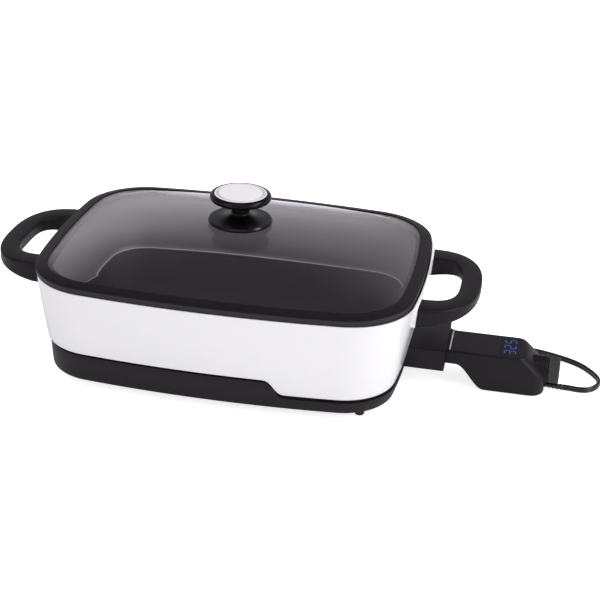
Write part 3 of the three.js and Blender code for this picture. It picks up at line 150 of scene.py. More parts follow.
def makeWorld():
    # White to the camera; in mirrored rays pale near the horizon and dark overhead, as in a lit sweep
    world = bpy.data.worlds.new("studio")
    bpy.context.scene.world = world
    tree = startTree(world)
    ray = addNode(tree, "LightPath").outputs
    way = addNode(tree, "SeparateXYZ", {0: addNode(tree, "TexCoord").outputs["Object"]}).outputs
    low = addNode(tree, "MapRange", {"Value": way["Y"], "From Min": -0.3, "From Max": 0.5, "To Min": 0.7,
                                     "To Max": 0.66}, interpolation_type="SMOOTHSTEP")
    glossy = addNode(tree, "MapRange", {"Value": way["Z"], "From Min": 0.06, "From Max": 0.85, "To Min": low,
                                        "To Max": 0.12}, interpolation_type="SMOOTHSTEP")
    # Mirrored: a glossy ray, or one that went through the glass after a glossy bounce
    mirrored = addNode(tree, "Math", {0: ray["Is Transmission Ray"], 1: ray["Glossy Depth"],
                                      2: ray["Is Glossy Ray"]}, operation="MULTIPLY_ADD", use_clamp=True)
    diffuse = addNode(tree, "MapRange", {"Value": mirrored, "To Min": 0.5, "To Max": glossy})
    # Seen: straight from the camera, or through the glass with no bounce before it
    bounces = addNode(tree, "Math", {0: ray["Glossy Depth"], 1: ray["Diffuse Depth"]}, operation="ADD",
                      use_clamp=True)
    through = addNode(tree, "Math", {0: ray["Is Transmission Ray"], 1: bounces}, operation="SUBTRACT",
                      use_clamp=True)
    seen = addNode(tree, "Math", {0: ray["Is Camera Ray"], 1: through}, operation="ADD", use_clamp=True)
    level = addNode(tree, "MapRange", {"Value": seen, "To Min": diffuse, "To Max": 1.0})
    tint = addNode(tree, "Mix", {0: mirrored, 6: (1, 1, 1, 1), 7: hexColour("#f4eff5")}, data_type="RGBA")
    light = addNode(tree, "Background", {"Color": tint.outputs[2], "Strength": level})
    addNode(tree, "OutputWorld", {"Surface": light})


def makeFloor():
    # White paper that keeps the shadow; lifted for the camera, and a little in mirrors near the skillet
    bm = bmesh.new()
    bmesh.ops.create_grid(bm, x_segments=1, y_segments=1, size=6)
    mesh = meshFrom("studioFloor", bm)
    floor = addObject("studioFloor", mesh)
    paper = bpy.data.materials.new("whitePaperFloor")
    tree = startTree(paper)
    ray = addNode(tree, "LightPath").outputs
    seen = addNode(tree, "Math", {0: ray["Is Camera Ray"], 1: ray["Is Transmission Ray"]}, operation="ADD",
                   use_clamp=True)
    apart = addNode(tree, "VectorMath", {0: addNode(tree, "TexCoord").outputs["Object"]}, operation="LENGTH")
    near = addNode(tree, "MapRange", {"Value": apart.outputs["Value"], "From Min": 0.95, "From Max": 0.45,
                                      "To Max": ray["Is Glossy Ray"]})
    faint = addNode(tree, "Math", {0: near, 1: 0.32}, operation="MULTIPLY")
    lift = addNode(tree, "Math", {0: seen, 1: 0.78, 2: faint}, operation="MULTIPLY_ADD")
    shade = addNode(tree, "Mix", {0: ray["Is Glossy Ray"], 6: hexColour("#f4f4f5"), 7: hexColour("#c9c2cf")},
                    data_type="RGBA")
    diffuse = addNode(tree, "BsdfDiffuse", {"Color": shade.outputs[2]})
    glow = addNode(tree, "Emission", {"Color": (1, 1, 1, 1), "Strength": lift})
    addNode(tree, "OutputMaterial", {"Surface": addNode(tree, "AddShader", {0: diffuse, 1: glow})})
    mesh.materials.append(paper)


makeCamera()
makeLamps()
makeWorld()
makeFloor()
bpy.context.scene.view_settings.view_transform = "Standard"
print("camera, lamps and floor made")


# Materials
def startMaterial(name, colour, roughness, metallic=0.0, ior=1.5, level=0.5):
    material = bpy.data.materials.new(name)
    tree = startTree(material)
    shader = addNode(tree, "BsdfPrincipled",
                     {"Base Color": hexColour(colour), "Roughness": roughness, "Metallic": metallic})
    if not metallic:
        shader.inputs["IOR"].default_value = ior
        shader.inputs["Specular IOR Level"].default_value = level
    addNode(tree, "OutputMaterial", {"Surface": shader})
    return material, tree, shader, addNode(tree, "TexCoord").outputs["Object"]


def grain(tree, shader, where, size, tints, roughness, depth=0.0, detail=4.0):
    # Noise of one grain size in mm that tints the colour, varies the roughness and raises the surface
    noise = addNode(tree, "TexNoise", {"Vector": where, "Scale": 1 / (size * mm), "Detail": detail})
    ramp = setRamp(addNode(tree, "ValToRGB", {"Fac": noise}), (0.3, tints[0]), last=(0.7, tints[1]))
    tree.links.new(ramp.outputs["Color"], shader.inputs["Base Color"])
    rough = addNode(tree, "MapRange", {"Value": noise, "To Min": roughness[0], "To Max": roughness[1]})
    tree.links.new(rough.outputs[0], shader.inputs["Roughness"])
    if depth:
        bump = addNode(tree, "Bump", {"Height": noise, "Distance": depth * mm, "Strength": 1.0})
        tree.links.new(bump.outputs[0], shader.inputs["Normal"])
    return noise


def grained(name, colour, roughness, *pattern, **basis):
    # A material with nothing but its grain
    material, tree, shader, where = startMaterial(name, colour, roughness, **basis)
    grain(tree, shader, where, *pattern)
    return material


# Vitreous enamel sprayed on sheet steel: glossy, with a faint waviness from firing
enamel, tree, shader, where = startMaterial("whiteEnamel", "#edebef", 0.16)
grain(tree, shader, where, 22, ("#ecebef", "#eeecf0"), (0.14, 0.18), 0.02, 1.0)
shader.inputs["Coat Weight"].default_value = 0.3
shader.inputs["Coat Roughness"].default_value = 0.05

# Phenolic moulded in a fine spark-eroded tool: satin, with a grain of half a millimetre
phenolic = grained("phenolicMoulding", "#110e12", 0.42, 0.5, ("#0f0c10", "#151116"), (0.36, 0.48), 0.02, level=0.22)

# The dial is greyer than the case and blasted dull; its greyer tone partly stands in for light from the right on the
# control's rear: painted light
dialResin = grained("dialMoulding", "#2c292d", 0.5, 0.6, ("#29262a", "#302d31"), (0.42, 0.56), 0.03, level=0.4)

# The base is the same resin as the handles, with a wider, duller grain
baseResin = grained("baseMoulding", "#171217", 0.5, 0.8, ("#151015", "#1b151b"), (0.4, 0.55), 0.03, level=0.25)

# Polished phenolic of the knob: deep black, nearly a mirror
glossResin = grained("polishedPhenolic", "#0b0a0c", 0.24, 9, ("#0a090b", "#0d0c0e"), (0.2, 0.28), level=0.2)

# Sprayed non-stick coating on cast aluminium, with fine flecks. The floor is painted dark and the wall pale, painted
# light for a wall that catches more light than the floor; the wall darkens towards its foot as painted shade, and a
# painted highlight lines the bend
coating, tree, shader, where = startMaterial("nonStickCoating", "#37363b", 0.38, level=0.4)
flecks = grain(tree, shader, where, 0.9, ("#1a191c", "#211f23"), (0.3, 0.42), 0.02)
floorTint = shader.inputs["Base Color"].links[0].from_socket
# The wall's pale tint against the dark floor is painted light: the wall drawn lit, the floor drawn in shade
wallTint = setRamp(addNode(tree, "ValToRGB", {"Fac": flecks}), (0, "#7f7c80"), last=(1, "#8b888c"))
height = addNode(tree, "SeparateXYZ", {0: where}).outputs["Z"]
climb = addNode(tree, "MapRange", {"Value": height, "From Min": (panFloor + 2) * mm, "From Max": (panFloor + 4) * mm})
bend = addNode(tree, "MapRange", {"Value": height, "From Min": panFloor * mm, "From Max": (panFloor + 6) * mm})
# A pale line on the bend between floor and wall: a painted highlight
paintedBendHighlight = setRamp(addNode(tree, "ValToRGB", {"Fac": bend}), (0, "#000000"), (0.28, "#000000"), (0.42, "#a09da2"),
               (0.56, "#000000"), last=(1, "#000000"))
# Darker towards the foot of the wall: painted shade
paintedWallShade = addNode(tree, "MapRange", {"Value": height, "From Min": (panFloor + 2) * mm, "From Max": (panFloor + 42) * mm,
                                  "To Min": 0.5, "To Max": 0.92})
shadedWall = addNode(tree, "VectorMath", {0: wallTint, "Scale": paintedWallShade}, operation="SCALE")
coat = addNode(tree, "Mix", {0: climb, 6: floorTint, 7: shadedWall}, data_type="RGBA")
coat = addNode(tree, "Mix", {0: 1.0, 6: coat.outputs[2], 7: paintedBendHighlight}, data_type="RGBA", blend_type="ADD")
tree.links.new(coat.outputs[2], shader.inputs["Base Color"])

# Moulded silicone rubber of the lid's ring: satin; its sides are painted paler than its top, a painted reflection of
# the bright floor
silicone, tree, shader, where = startMaterial("siliconeRubber", "#18141a", 0.45, ior=1.42, level=0.25)
grain(tree, shader, where, 2.5, ("#131015", "#18141a"), (0.38, 0.52), 0.015)
ringGrainColour = shader.inputs["Base Color"].links[0].from_socket
# Sides facing outward are painted paler than the top: painted reflection
turn = addNode(tree, "SeparateXYZ", {0: addNode(tree, "NewGeometry").outputs["Normal"]}).outputs["Z"]
facing = addNode(tree, "MapRange", {"Value": turn, "From Min": 0.1, "From Max": 0.7})
paintedSideLight = addNode(tree, "Mix", {0: facing, 6: hexColour("#2e2a30"), 7: ringGrainColour}, data_type="RGBA")
tree.links.new(paintedSideLight.outputs[2], shader.inputs["Base Color"])

# Hard rubber of the feet
footRubber = grained("footRubber", "#1d1c1e", 0.7, 0.7, ("#1a191b", "#232124"), (0.6, 0.8), 0.03)

# Tempered soda-lime glass: clear, with a slight grey body and a trace of wiping; light passes it in shadows
glass, tree, shader, where = startMaterial("temperedGlass", "#f8f6f9", 0.02, ior=1.5)
shader.inputs["Transmission Weight"].default_value = 1.0
smear = addNode(tree, "TexNoise", {"Vector": where, "Scale": 18.0, "Detail": 3.0})
wipe = addNode(tree, "MapRange", {"Value": smear, "To Min": 0.0, "To Max": 0.015})
tree.links.new(wipe.outputs[0], shader.inputs["Roughness"])
clear = addNode(tree, "BsdfTransparent", {"Color": hexColour("#f3f0f3")})
ray = addNode(tree, "LightPath").outputs
passing = addNode(tree, "Math", {0: ray["Is Shadow Ray"], 1: ray["Is Diffuse Ray"]}, operation="ADD", use_clamp=True)
mixed = addNode(tree, "MixShader", {0: passing, 1: shader, 2: clear})
tree.links.new(mixed.outputs[0], tree.nodes["Material Output"].inputs["Surface"])

# Spun stainless disc: fine rings round its middle from the lathe, and two engraved ones painted darker as painted
# shade in their grooves; its pale, barely metallic colour is partly the steel's own tone and partly a painted
# reflection of bright surroundings
spunSteel, tree, shader, where = startMaterial("spunSteel", "#e6e0e7", 0.45, metallic=0.15)
centred = addNode(tree, "Mapping", {"Vector": where, "Location": (-midX, 0, 0)})
rings = addNode(tree, "TexWave", {"Vector": centred, "Scale": 260.0, "Distortion": 0.6, "Detail": 2.0},
                wave_type="RINGS", rings_direction="Z").outputs["Fac"]
ramp = setRamp(addNode(tree, "ValToRGB", {"Fac": rings}), (0, "#dfd9e0"), last=(1, "#ede8ee"))
flat = addNode(tree, "VectorMath", {0: centred, 1: (1, 1, 0)}, operation="MULTIPLY")
out = addNode(tree, "VectorMath", {0: flat}, operation="LENGTH").outputs["Value"]
# The two engraved rings are painted dark: painted shade in the grooves
band = addNode(tree, "MapRange", {"Value": out, "From Min": 20 * mm, "From Max": 28 * mm})
cut = setRamp(addNode(tree, "ValToRGB", {"Fac": band}), (0, "#ffffff"), (0.43, "#ffffff"), (0.5, "#8d878d"),
              (0.57, "#ffffff"), (0.63, "#ffffff"), (0.7, "#8d878d"), (0.77, "#ffffff"), last=(1, "#ffffff"))
tone = addNode(tree, "Mix", {0: 1.0, 6: ramp, 7: cut}, data_type="RGBA", blend_type="MULTIPLY")
tree.links.new(tone.outputs[2], shader.inputs["Base Color"])
groove = addNode(tree, "Bump", {"Height": rings, "Distance": 0.01 * mm, "Strength": 0.6})
tree.links.new(groove.outputs[0], shader.inputs["Normal"])

# Rolled steel of screws, brackets and pins
rolledSteel = grained("rolledSteel", "#a9a6aa", 0.34, 3, ("#9c999d", "#b7b4b8"), (0.26, 0.42), metallic=1.0)

# The sheath of the heating rod, dulled by heat
sheath = grained("heatedSheath", "#5d5552", 0.5, 12, ("#4e4744", "#6b625c"), (0.42, 0.6), metallic=1.0)

# Turned brass, and the plated brass of the plug's blades
turnedBrass = grained("turnedBrass", "#b8944a", 0.3, 4, ("#a98540", "#c4a159"), (0.24, 0.38), metallic=1.0)
platedBrass = grained("platedBrass", "#cfc3a0", 0.22, 5, ("#c6b993", "#d6ccae"), (0.18, 0.3), metallic=1.0)

# Unglazed steatite ceramic
steatite = grained("steatite", "#ddd8cc", 0.65, 1.2, ("#d6d0c3", "#e4dfd4"), (0.55, 0.75), 0.02)

# Polished black acrylic over the display, and its lit bars
acrylic = grained("displayAcrylic", "#060609", 0.1, 12, ("#050508", "#08080b"), (0.08, 0.14), ior=1.49, level=0.2)
litBlue, tree, shader, where = startMaterial("litBlueBars", "#2a3f8f", 0.3)
grain(tree, shader, where, 3, ("#263a86", "#2f469c"), (0.25, 0.35))
shader.inputs["Emission Color"].default_value = hexColour("#4467e6")
shader.inputs["Emission Strength"].default_value = 0.4

# Light grey line across the control's top
greyLine = grained("lightGreyLine", "#b4b1b6", 0.3, 2, ("#aca9ae", "#bcb9be"), (0.25, 0.36))

# Glass-epoxy circuit board
boardEpoxy = grained("circuitBoard", "#27583a", 0.4, 1.5, ("#1f4b30", "#2f6644"), (0.3, 0.5))

# Vinyl of the cord and plug: soft, with a slight sheen
vinyl = grained("cordVinyl", "#131113", 0.3, 2.2, ("#111011", "#171517"), (0.25, 0.35), 0.01)


def paint(material, *names):
    for name in names:
        mesh = nodes[name].data
        mesh.materials.clear()
        mesh.materials.append(material)


for side in ("front", "rear"):
    paint(rolledSteel, f"terminal_pin_{side}", f"guard_screw_{side}", f"board_screw_{side}")
    paint(steatite, f"terminal_insulator_{side}")
    paint(turnedBrass, f"contact_sleeve_{side}")
    paint(platedBrass, f"plug_blade_{side}")
    for end in ("left", "right"):
        paint(rolledSteel, f"base_screw_{side}_{end}", f"handle_screw_{side}_{end}")
        paint(footRubber, f"foot_{side}_{end}")
paint(rolledSteel, "element_clamp_left", "element_clamp_right", "terminal_bracket", "sensor_sleeve",
      "dial_encoder", "sensor_probe", "dial_shaft", "knob_screw")
paint(sheath, "heating_element")
paint(phenolic, "power_relay", "handle_left", "handle_right", "probe_guard", "control_case", "control_cover")
paint(dialResin, "temperature_dial")
paint(boardEpoxy, "circuit_board")
paint(litBlue, "display_module")
paint(acrylic, "display_window")
paint(greyLine, "control_trim")
paint(enamel, "outer_shell")
paint(baseResin, "base_tray")
paint(coating, "pan")
paint(silicone, "lid_ring", "knob_washer")
paint(glass, "lid_glass")
paint(glossResin, "knob_base", "knob_grip")
paint(spunSteel, "knob_inlay")
paint(vinyl, "power_cord", "cord_coil", "cord_tie", "plug_body", "strain_relief")
print("materials made")


# Building helpers
def keep(name, bm, material, body, bevel=0.0, segments=2, angle=35.0):
    mesh = meshFrom(name, bm)
    mesh.shade_smooth()
    mesh.set_sharp_from_angle(angle=math.radians(angle))
    mesh.materials.append(material)
    piece = addObject(name, mesh)
    if bevel:
        edges = piece.modifiers.new("edgeRound", "BEVEL")
        edges.width = bevel
        edges.segments = segments
        edges.limit_method = "ANGLE"
        edges.angle_limit = math.radians(angle)
        edges.harden_normals = True
    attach(piece, body)
    return piece


def vertsIn(geom):
    return [part for part in geom if isinstance(part, bmesh.types.BMVert)]


def growRings(bm, rings):
    # Edges of the first ring are extruded to each further ring, whose points keep their order
    order = bm.verts.layers.int.new("order")
    verts = [bm.verts.new(point) for point in rings[0]]
    for i, vert in enumerate(verts):
        vert[order] = i
    first = edges = [bm.edges.new(pair) for pair in zip(verts, verts[1:] + verts[:1])]
    for ring in rings[1:]:
        grown = bmesh.ops.extrude_edge_only(bm, edges=edges)["geom"]
        for vert in vertsIn(grown):
            vert.co = ring[vert[order]]
        edges = [part for part in grown if isinstance(part, bmesh.types.BMEdge)
                 and all(vert in grown for vert in part.verts)]
    return first, edges


def outward(bm):
    bmesh.ops.remove_doubles(bm, verts=bm.verts, dist=0.01 * mm)
    bmesh.ops.recalc_face_normals(bm, faces=bm.faces)


def loft(rings, joined=False):
    # A closed solid through rings, capped at both ends or joined from the last ring to the first
    bm = bmesh.new()
    if joined:
        growRings(bm, rings + [rings[0]])
    else:
        for edges in growRings(bm, rings):
            bmesh.ops.edgeloop_fill(bm, edges=edges)
    outward(bm)
    return bm


def spunPiece(profile, centre, axis="Z", steps=96):
    # A profile of radius and height, spun round an axis through centre
    bm = bmesh.new()
    verts = [bm.verts.new((radius * mm, 0, height * mm)) for radius, height in profile]
    edges = [bm.edges.new(pair) for pair in zip(verts, verts[1:])]
    bmesh.ops.spin(bm, geom=verts + edges, cent=(0, 0, 0), axis=(0, 0, 1), angle=2 * math.pi, steps=steps,
                   use_merge=True)
    outward(bm)
    if axis == "X":
        bmesh.ops.rotate(bm, verts=bm.verts, cent=(0, 0, 0), matrix=Matrix.Rotation(math.pi / 2, 3, "Y"))
    bmesh.ops.translate(bm, verts=bm.verts, vec=Vector(centre))
    return bm


# The plan outline: three arcs to a quadrant, drawn in by an inset in millimetres
plan = {"halfLength": 203, "halfWidth": 152, "cornerRadius": 71.7, "endBulge": 13.9, "sideBulge": 15.65,
        "endSteps": 10, "cornerSteps": 18, "sideSteps": 40}
endRadius = plan["halfWidth"] ** 2 / (2 * plan["endBulge"])


def planArcs():
    sideRadius = plan["halfLength"] ** 2 / (2 * plan["sideBulge"])
    endCentre = Vector((plan["halfLength"] - endRadius, 0))
    sideCentre = Vector((0, plan["halfWidth"] - sideRadius))
    toEnd = endRadius - plan["cornerRadius"]
    toSide = sideRadius - plan["cornerRadius"]
    apart = (endCentre - sideCentre).length
    along = (toSide ** 2 - toEnd ** 2 + apart ** 2) / (2 * apart)
    aside = math.sqrt(toSide ** 2 - along ** 2)
    ahead = (endCentre - sideCentre).normalized()
    corner = sideCentre + ahead * along + Vector((ahead.y, -ahead.x)) * aside
    fromEnd = math.atan2(*(corner - endCentre).yx)
    fromSide = math.atan2(*(corner - sideCentre).yx)
    return [(endCentre, endRadius, 0, fromEnd, plan["endSteps"]),
            (corner, plan["cornerRadius"], fromEnd, fromSide, plan["cornerSteps"]),
            (sideCentre, sideRadius, fromSide, math.pi / 2, plan["sideSteps"])]


quadrantRays = [(centre, radius, start + (end - start) * i / steps)
                for centre, radius, start, end, steps in planArcs() for i in range(steps)]


def outline(inset):
    quadrant = [centre + Vector((math.cos(angle), math.sin(angle))) * (radius - inset)
                for centre, radius, angle in quadrantRays]
    upper = quadrant + [Vector((0, plan["halfWidth"] - inset))] + [Vector((-p.x, p.y)) for p in quadrant[:0:-1]]
    return upper + [-p for p in upper]


def place(x, y, z):
    # A point in millimetres from the pan's middle
    return Vector((midX + x * mm, y * mm, z * mm))


def planRings(pairs):
    # Rings of the outline at pairs of an inset and a height, which may follow x
    return [[place(p.x, p.y, z(p.x) if callable(z) else z) for p in outline(inset)] for inset, z in pairs]


def arcPoints(centre, radius, start, end, steps):
    angles = [math.radians(start + (end - start) * i / steps) for i in range(steps + 1)]
    return [(centre[0] + radius * math.cos(a), centre[1] + radius * math.sin(a)) for a in angles]


def smooth(share):
    share = min(max(share, 0.0), 1.0)
    return share * share * (3 - 2 * share)


def curveAt(x, start, end, reach):
    # Share of the way up on a Bezier S between two places
    if x <= start:
        return 0.0
    if x >= end:
        return 1.0
    low, high = 0.0, 1.0
    for _ in range(30):
        t = (low + high) / 2
        at = 3 * t * (1 - t) ** 2 * reach + 3 * t * t * (1 - t) * (1 - reach) + t ** 3
        low, high = (t, high) if at < (x - start) / (end - start) else (low, t)
    return 3 * t * t * (1 - t) + t ** 3


def roundedBox(halfY, halfZ, radius, steps=5):
    # Outline in Y and Z of a rectangle with rounded corners, counterclockwise
    points = []
    for y, z, start in ((1, 1, 0), (-1, 1, 90), (-1, -1, 180), (1, -1, 270)):
        points += arcPoints((y * (halfY - radius), z * (halfZ - radius)), radius, start, start + 90, steps)
    return points


# Cord: a flat twin lead on edge, laid in one loop in view and coiled behind the skillet
cord = {"height": 6.7, "lobe": 2.0, "lobeArc": (-66, 246), "sides": 9, "split": 3, "gap": 0.2, "coilRadius": 36,
        "coilMiddle": (88, 218), "coilLow": 4.2, "turns": (1.5, 0.5, 1.0), "coilSteps": 24, "run": 34, "drop": 20,
        "runSteps": 4, "end": (27.8, 7.8)}
cordRoute = [
    (359.8, 0, 3.4), (366, -0.2, 3.4), (375, -1.3, 3.4), (385, 0.6, 3.4), (393, 8.4, 3.4), (396.6, 19, 3.4),
    (394.8, 30, 3.4), (388, 41.5, 3.4), (378, 53, 3.4), (365, 62, 3.4), (350, 68.6, 3.4), (333, 74.2, 3.4),
    (306, 80, 3.4), (276, 85, 3.4), (253, 89.5, 3.4), (236, 95.5, 3.4), (222, 106.5, 3.4), (209.5, 122, 3.4),
    (196, 141, 3.5), (178, 160, 3.7), (154, 173.2, 4.1), (130, 176.9, 4.2), (112, 176.83, 4.2), (94.5, 176.83, 4.2),
]


def coilPoints():
    # Turns in, a climb on to the upper layer, one turn out again, and a run down to the plug
    inward, climb, out = cord["turns"]
    coilX, coilY = cord["coilMiddle"]
    pitch = cord["height"] + cord["gap"]
    start = cord["coilRadius"] + pitch * inward / 2
    middle = inward + climb / 2
    points = []
    for i in range(round((inward + climb + out) * cord["coilSteps"]) + 1):
        turn = i / cord["coilSteps"]
        radius = start - pitch * (turn if turn < middle else 2 * middle - turn)
        angle = -math.pi / 2 - 2 * math.pi * turn
        rise = min(max((turn - inward) / climb, 0), 1)
        points.append((coilX + radius * math.cos(angle), coilY + radius * math.sin(angle),
                       cord["coilLow"] + pitch * rise))
    y, z = points[-1][1:]
    endX, endZ = cord["end"]
    for i in range(1, cord["runSteps"] + 1):
        share = i / cord["runSteps"]
        points.append((coilX - cord["run"] - cord["drop"] * share, y, z + (endZ - z) * smooth(share)))
    return points + [(endX, y, endZ)]


def finer(points, split):
    # Catmull-Rom points between the given ones
    padded = [points[0] * 2 - points[1]] + points + [points[-1] * 2 - points[-2]]
    result = []
    for a, b, c, d in zip(padded, padded[1:], padded[2:], padded[3:]):
        for t in [i / split for i in range(split)]:
            result.append(0.5 * (b * 2 + (c - a) * t + (a * 2 - b * 5 + c * 4 - d) * t * t
                                 + (b * 3 - a - c * 3 + d) * t ** 3))
    return result + [points[-1]]


def makeCord():
    # Two round leads joined by a web, one above the other
    upper = arcPoints((0, cord["height"] / 2 - cord["lobe"]), cord["lobe"], *cord["lobeArc"], cord["sides"])
    section = upper + [(-a, -b) for a, b in upper]
    route = [place(*p) for p in cordRoute + coilPoints()]
    line = finer(route, cord["split"])
    rings = []
    for i, at in enumerate(line):
        ahead = (line[min(i + 1, len(line) - 1)] - line[max(i - 1, 0)]).normalized()
        across = Vector((0, 0, 1)).cross(ahead).normalized()
        up = ahead.cross(across)
        rings.append([at + across * a * mm + up * b * mm for a, b in section])
    piece = keep("powerLead", loft(rings), vinyl, "heat_control", angle=60)
    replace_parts(piece, "power_cord", "cord_coil")
    return piece, route, sum((b - a).length for a, b in zip(route, route[1:]))


powerLead, leadRoute, leadLength = makeCord()
print("cord made", round(leadLength, 3), "m,", len(cordRoute), "points before the coil")

# Strain relief, tie and plug
relief = {"from": 330.5, "to": 360.3, "root": (4.4, 3.2), "tip": (3.6, 3.1), "high": 4.8, "low": 3.4, "rings": 28,
          "sides": 24, "rib": 0.45, "ribsFrom": 0.3, "ribsTo": 0.95, "headShare": 0.28}


def makeRelief():
    rings = []
    for i in range(relief["rings"] + 1):
        share = i / relief["rings"]
        x = relief["from"] + (relief["to"] - relief["from"]) * share
        tail = max(0.0, (share - relief["headShare"]) / (1 - relief["headShare"]))
        z = relief["high"] + (relief["low"] - relief["high"]) * smooth(tail)
        cut = relief["rib"] if relief["ribsFrom"] < share < relief["ribsTo"] and i % 4 > 1 else 0.0
        halfY, halfZ = [a + (b - a) * tail - cut for a, b in zip(relief["root"], relief["tip"])]
        angles = [2 * math.pi * j / relief["sides"] for j in range(relief["sides"])]
        rings.append([place(x, halfY * math.cos(a), z + halfZ * math.sin(a)) for a in angles])
    piece = keep("leadRelief", loft(rings), vinyl, "heat_control", angle=30)
    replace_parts(piece, "strain_relief")
    return piece


tie = {"x": 88, "width": 9, "y": 252.275, "z": 7.65, "half": 6.85, "round": 3.1, "thick": 0.8, "edge": 0.3}


def makeTie():
    wide, far, thick = tie["width"] / 2, tie["half"], tie["thick"]
    outer = roundedBox(far + thick, far + thick, tie["round"] + thick)
    inner = roundedBox(far, far, tie["round"])
    rings = [[place(tie["x"] + x, tie["y"] + a, tie["z"] + b) for a, b in line]
             for line, x in ((outer, -wide), (outer, wide), (inner, wide), (inner, -wide))]
    piece = keep("leadTie", loft(rings, joined=True), vinyl, "heat_control", bevel=tie["edge"] * mm)
    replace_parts(piece, "cord_tie")
    return piece


plug = {"end": 27.5, "y": 180.275, "z": 7.8, "neck": 12, "neckRadius": 5.2, "neckRings": 8, "neckFlare": 0.8,
        "neckRib": 0.6, "mouth": (3.6, 4.2, 3.5), "shoulder": ((12, 0.75), (13.2, 0.9), (15.2, 0.98)), "length": 34,
        "halfY": 12.5, "halfZ": 7.5, "round": 5, "rib": 0.7, "ribsFrom": 17, "ribPitch": 1.5,
        "gripRings": 13, "lastRib": 11, "face": ((1.6, 0), (0.5, 0.4), (0, 1.6))}


def makePlug():
    # Rings along -X: neck, shoulder, ribbed grip, face
    rings = []

    def ring(back, *box):
        rings.append([place(plug["end"] - back, plug["y"] + a, plug["z"] + b) for a, b in roundedBox(*box)])

    halfY, halfZ, soft, flare = plug["halfY"], plug["halfZ"], plug["round"], plug["neckFlare"]
    ring(0, *plug["mouth"])
    for i in range(plug["neckRings"] + 1):
        share = i / plug["neckRings"]
        size = plug["neckRadius"] - flare + flare * share - (plug["neckRib"] if i % 3 == 1 else 0)
        ring(1 + (plug["neck"] - 2) * share, size, size, size - 0.05)
    for back, share in plug["shoulder"]:
        ring(back, halfY * share, halfZ * share, soft * share)
    for i in range(plug["gripRings"]):
        cut = plug["rib"] if i % 3 == 1 and i < plug["lastRib"] else 0.0
        ring(plug["ribsFrom"] + i * plug["ribPitch"], halfY - cut, halfZ - cut, soft)
    for short, draw in plug["face"]:
        ring(plug["neck"] + plug["length"] - short, halfY - draw, halfZ - draw, soft - draw)
    piece = keep("leadPlug", loft(rings), vinyl, "heat_control", angle=40)
    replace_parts(piece, "plug_body")
    return piece


leadRelief, leadTie, leadPlug = makeRelief(), makeTie(), makePlug()
print("relief, tie and plug made")


# Outer shell: enamelled wall with an S-shaped step in its lower edge
shell = {"rim": rimTop, "low": 27.8, "high": 44.6, "step": (58, 81), "stepCurve": 0.52, "wall": 1.2, "topInset": -0.6,
         "taper": 13.8, "swell": 0.8, "rows": 14, "hem": 0.6, "endFlare": 1.6, "flareFrom": 110, "flareRun": 70}


def shellShare(z):
    return (shell["rim"] - z) / (shell["rim"] - shell["low"])


def shellInset(z):
    share = shellShare(z)
    return shell["topInset"] + shell["taper"] * share - 4 * shell["swell"] * share * (1 - share)


def endFlare(x, z):
    # Towards the rim the whole wall shifts a little to the right at both ends
    return shell["endFlare"] * smooth((abs(x) - shell["flareFrom"]) / shell["flareRun"]) * (1 - shellShare(z))


def lowEdge(x, drop=0.0):
    # Height of the shell's lower edge: an S between the high and the low part
    return shell["high"] - drop - (shell["high"] - shell["low"]) * curveAt(x, *shell["step"], shell["stepCurve"])


def shellEndX(y, z, side=1):
    # Outer face of the shell's end
    reach = plan["halfLength"] - y * y / (2 * endRadius) - shellInset(z)
    return reach + side * endFlare(reach, z)


def shellRing(share, depth=0.0, rise=0.0):
    # A ring at a share of the wall's height, depth in from its outer face
    lows = [lowEdge(p.x) + rise for p in outline(0)]
    heights = [z + (shell["rim"] - z) * share for z in lows]
    insets = [round(shellInset(z) + depth, 4) for z in heights]
    lines = {inset: outline(inset) for inset in set(insets)}
    points = [lines[inset][i] for i, inset in enumerate(insets)]
    return [place(p.x + endFlare(p.x, z), p.y, z) for p, z in zip(points, heights)]


# The opening in the right end that the pins and the sensor pass
window = {"halfY": 27.5, "low": 26.2, "high": 45.6, "from": 170, "reach": 60}


def openWindow(bm):
    # Both skins at the right end are cut along the window's four planes, and its edges bridged
    half, low, high = window["halfY"], window["low"], window["high"]
    startX = place(window["from"], 0, 0).x
    for at, normal in (((0, half, 0), (0, 1, 0)), ((0, -half, 0), (0, -1, 0)),
                       ((0, 0, low), (0, 0, -1)), ((0, 0, high), (0, 0, 1))):
        near = [face for face in bm.faces if face.calc_center_median().x > startX
                and abs(face.calc_center_median().y) < window["reach"] * mm]
        parts = near + list({edge for face in near for edge in face.edges})
        parts += list({vert for face in near for vert in face.verts})
        bmesh.ops.bisect_plane(bm, geom=parts, plane_co=place(*at), plane_no=normal, dist=0.001 * mm)
    gone = []
    for face in bm.faces:
        at = face.calc_center_median()
        if at.x > startX and abs(at.y) < half * mm and low * mm < at.z < high * mm:
            gone.append(face)
    rim = {edge for face in gone for edge in face.edges if any(other not in gone for other in edge.link_faces)}
    bmesh.ops.delete(bm, geom=gone, context="FACES")
    bmesh.ops.bridge_loops(bm, edges=[edge for edge in rim if edge.is_valid])
    bmesh.ops.recalc_face_normals(bm, faces=bm.faces)


def makeShell():
    rows, hem = shell["rows"], shell["hem"]
    rings = [shellRing(0, hem), shellRing(0, hem * 0.3, hem * 0.3), shellRing(0, 0, hem)]
    rings += [shellRing(i / rows) for i in range(1, rows + 1)]
    rings += [shellRing(i / rows, shell["wall"]) for i in range(rows, -1, -1)]
    bm = loft(rings, joined=True)
    openWindow(bm)
    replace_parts(keep("enamelShell", bm, enamel, "skillet_body"), "outer_shell")


makeShell()
print("shell made")

# Base tray under the shell, with a shadow gap that follows the step
base = {"inset": 14.6, "topInset": 12.7, "bottom": 11.2, "round": 2.4, "groove": 3.3, "edge": 0.8,
        "lipInset": 15.6, "lipWall": 2.2, "lipTop": 54.6, "floor": 3}


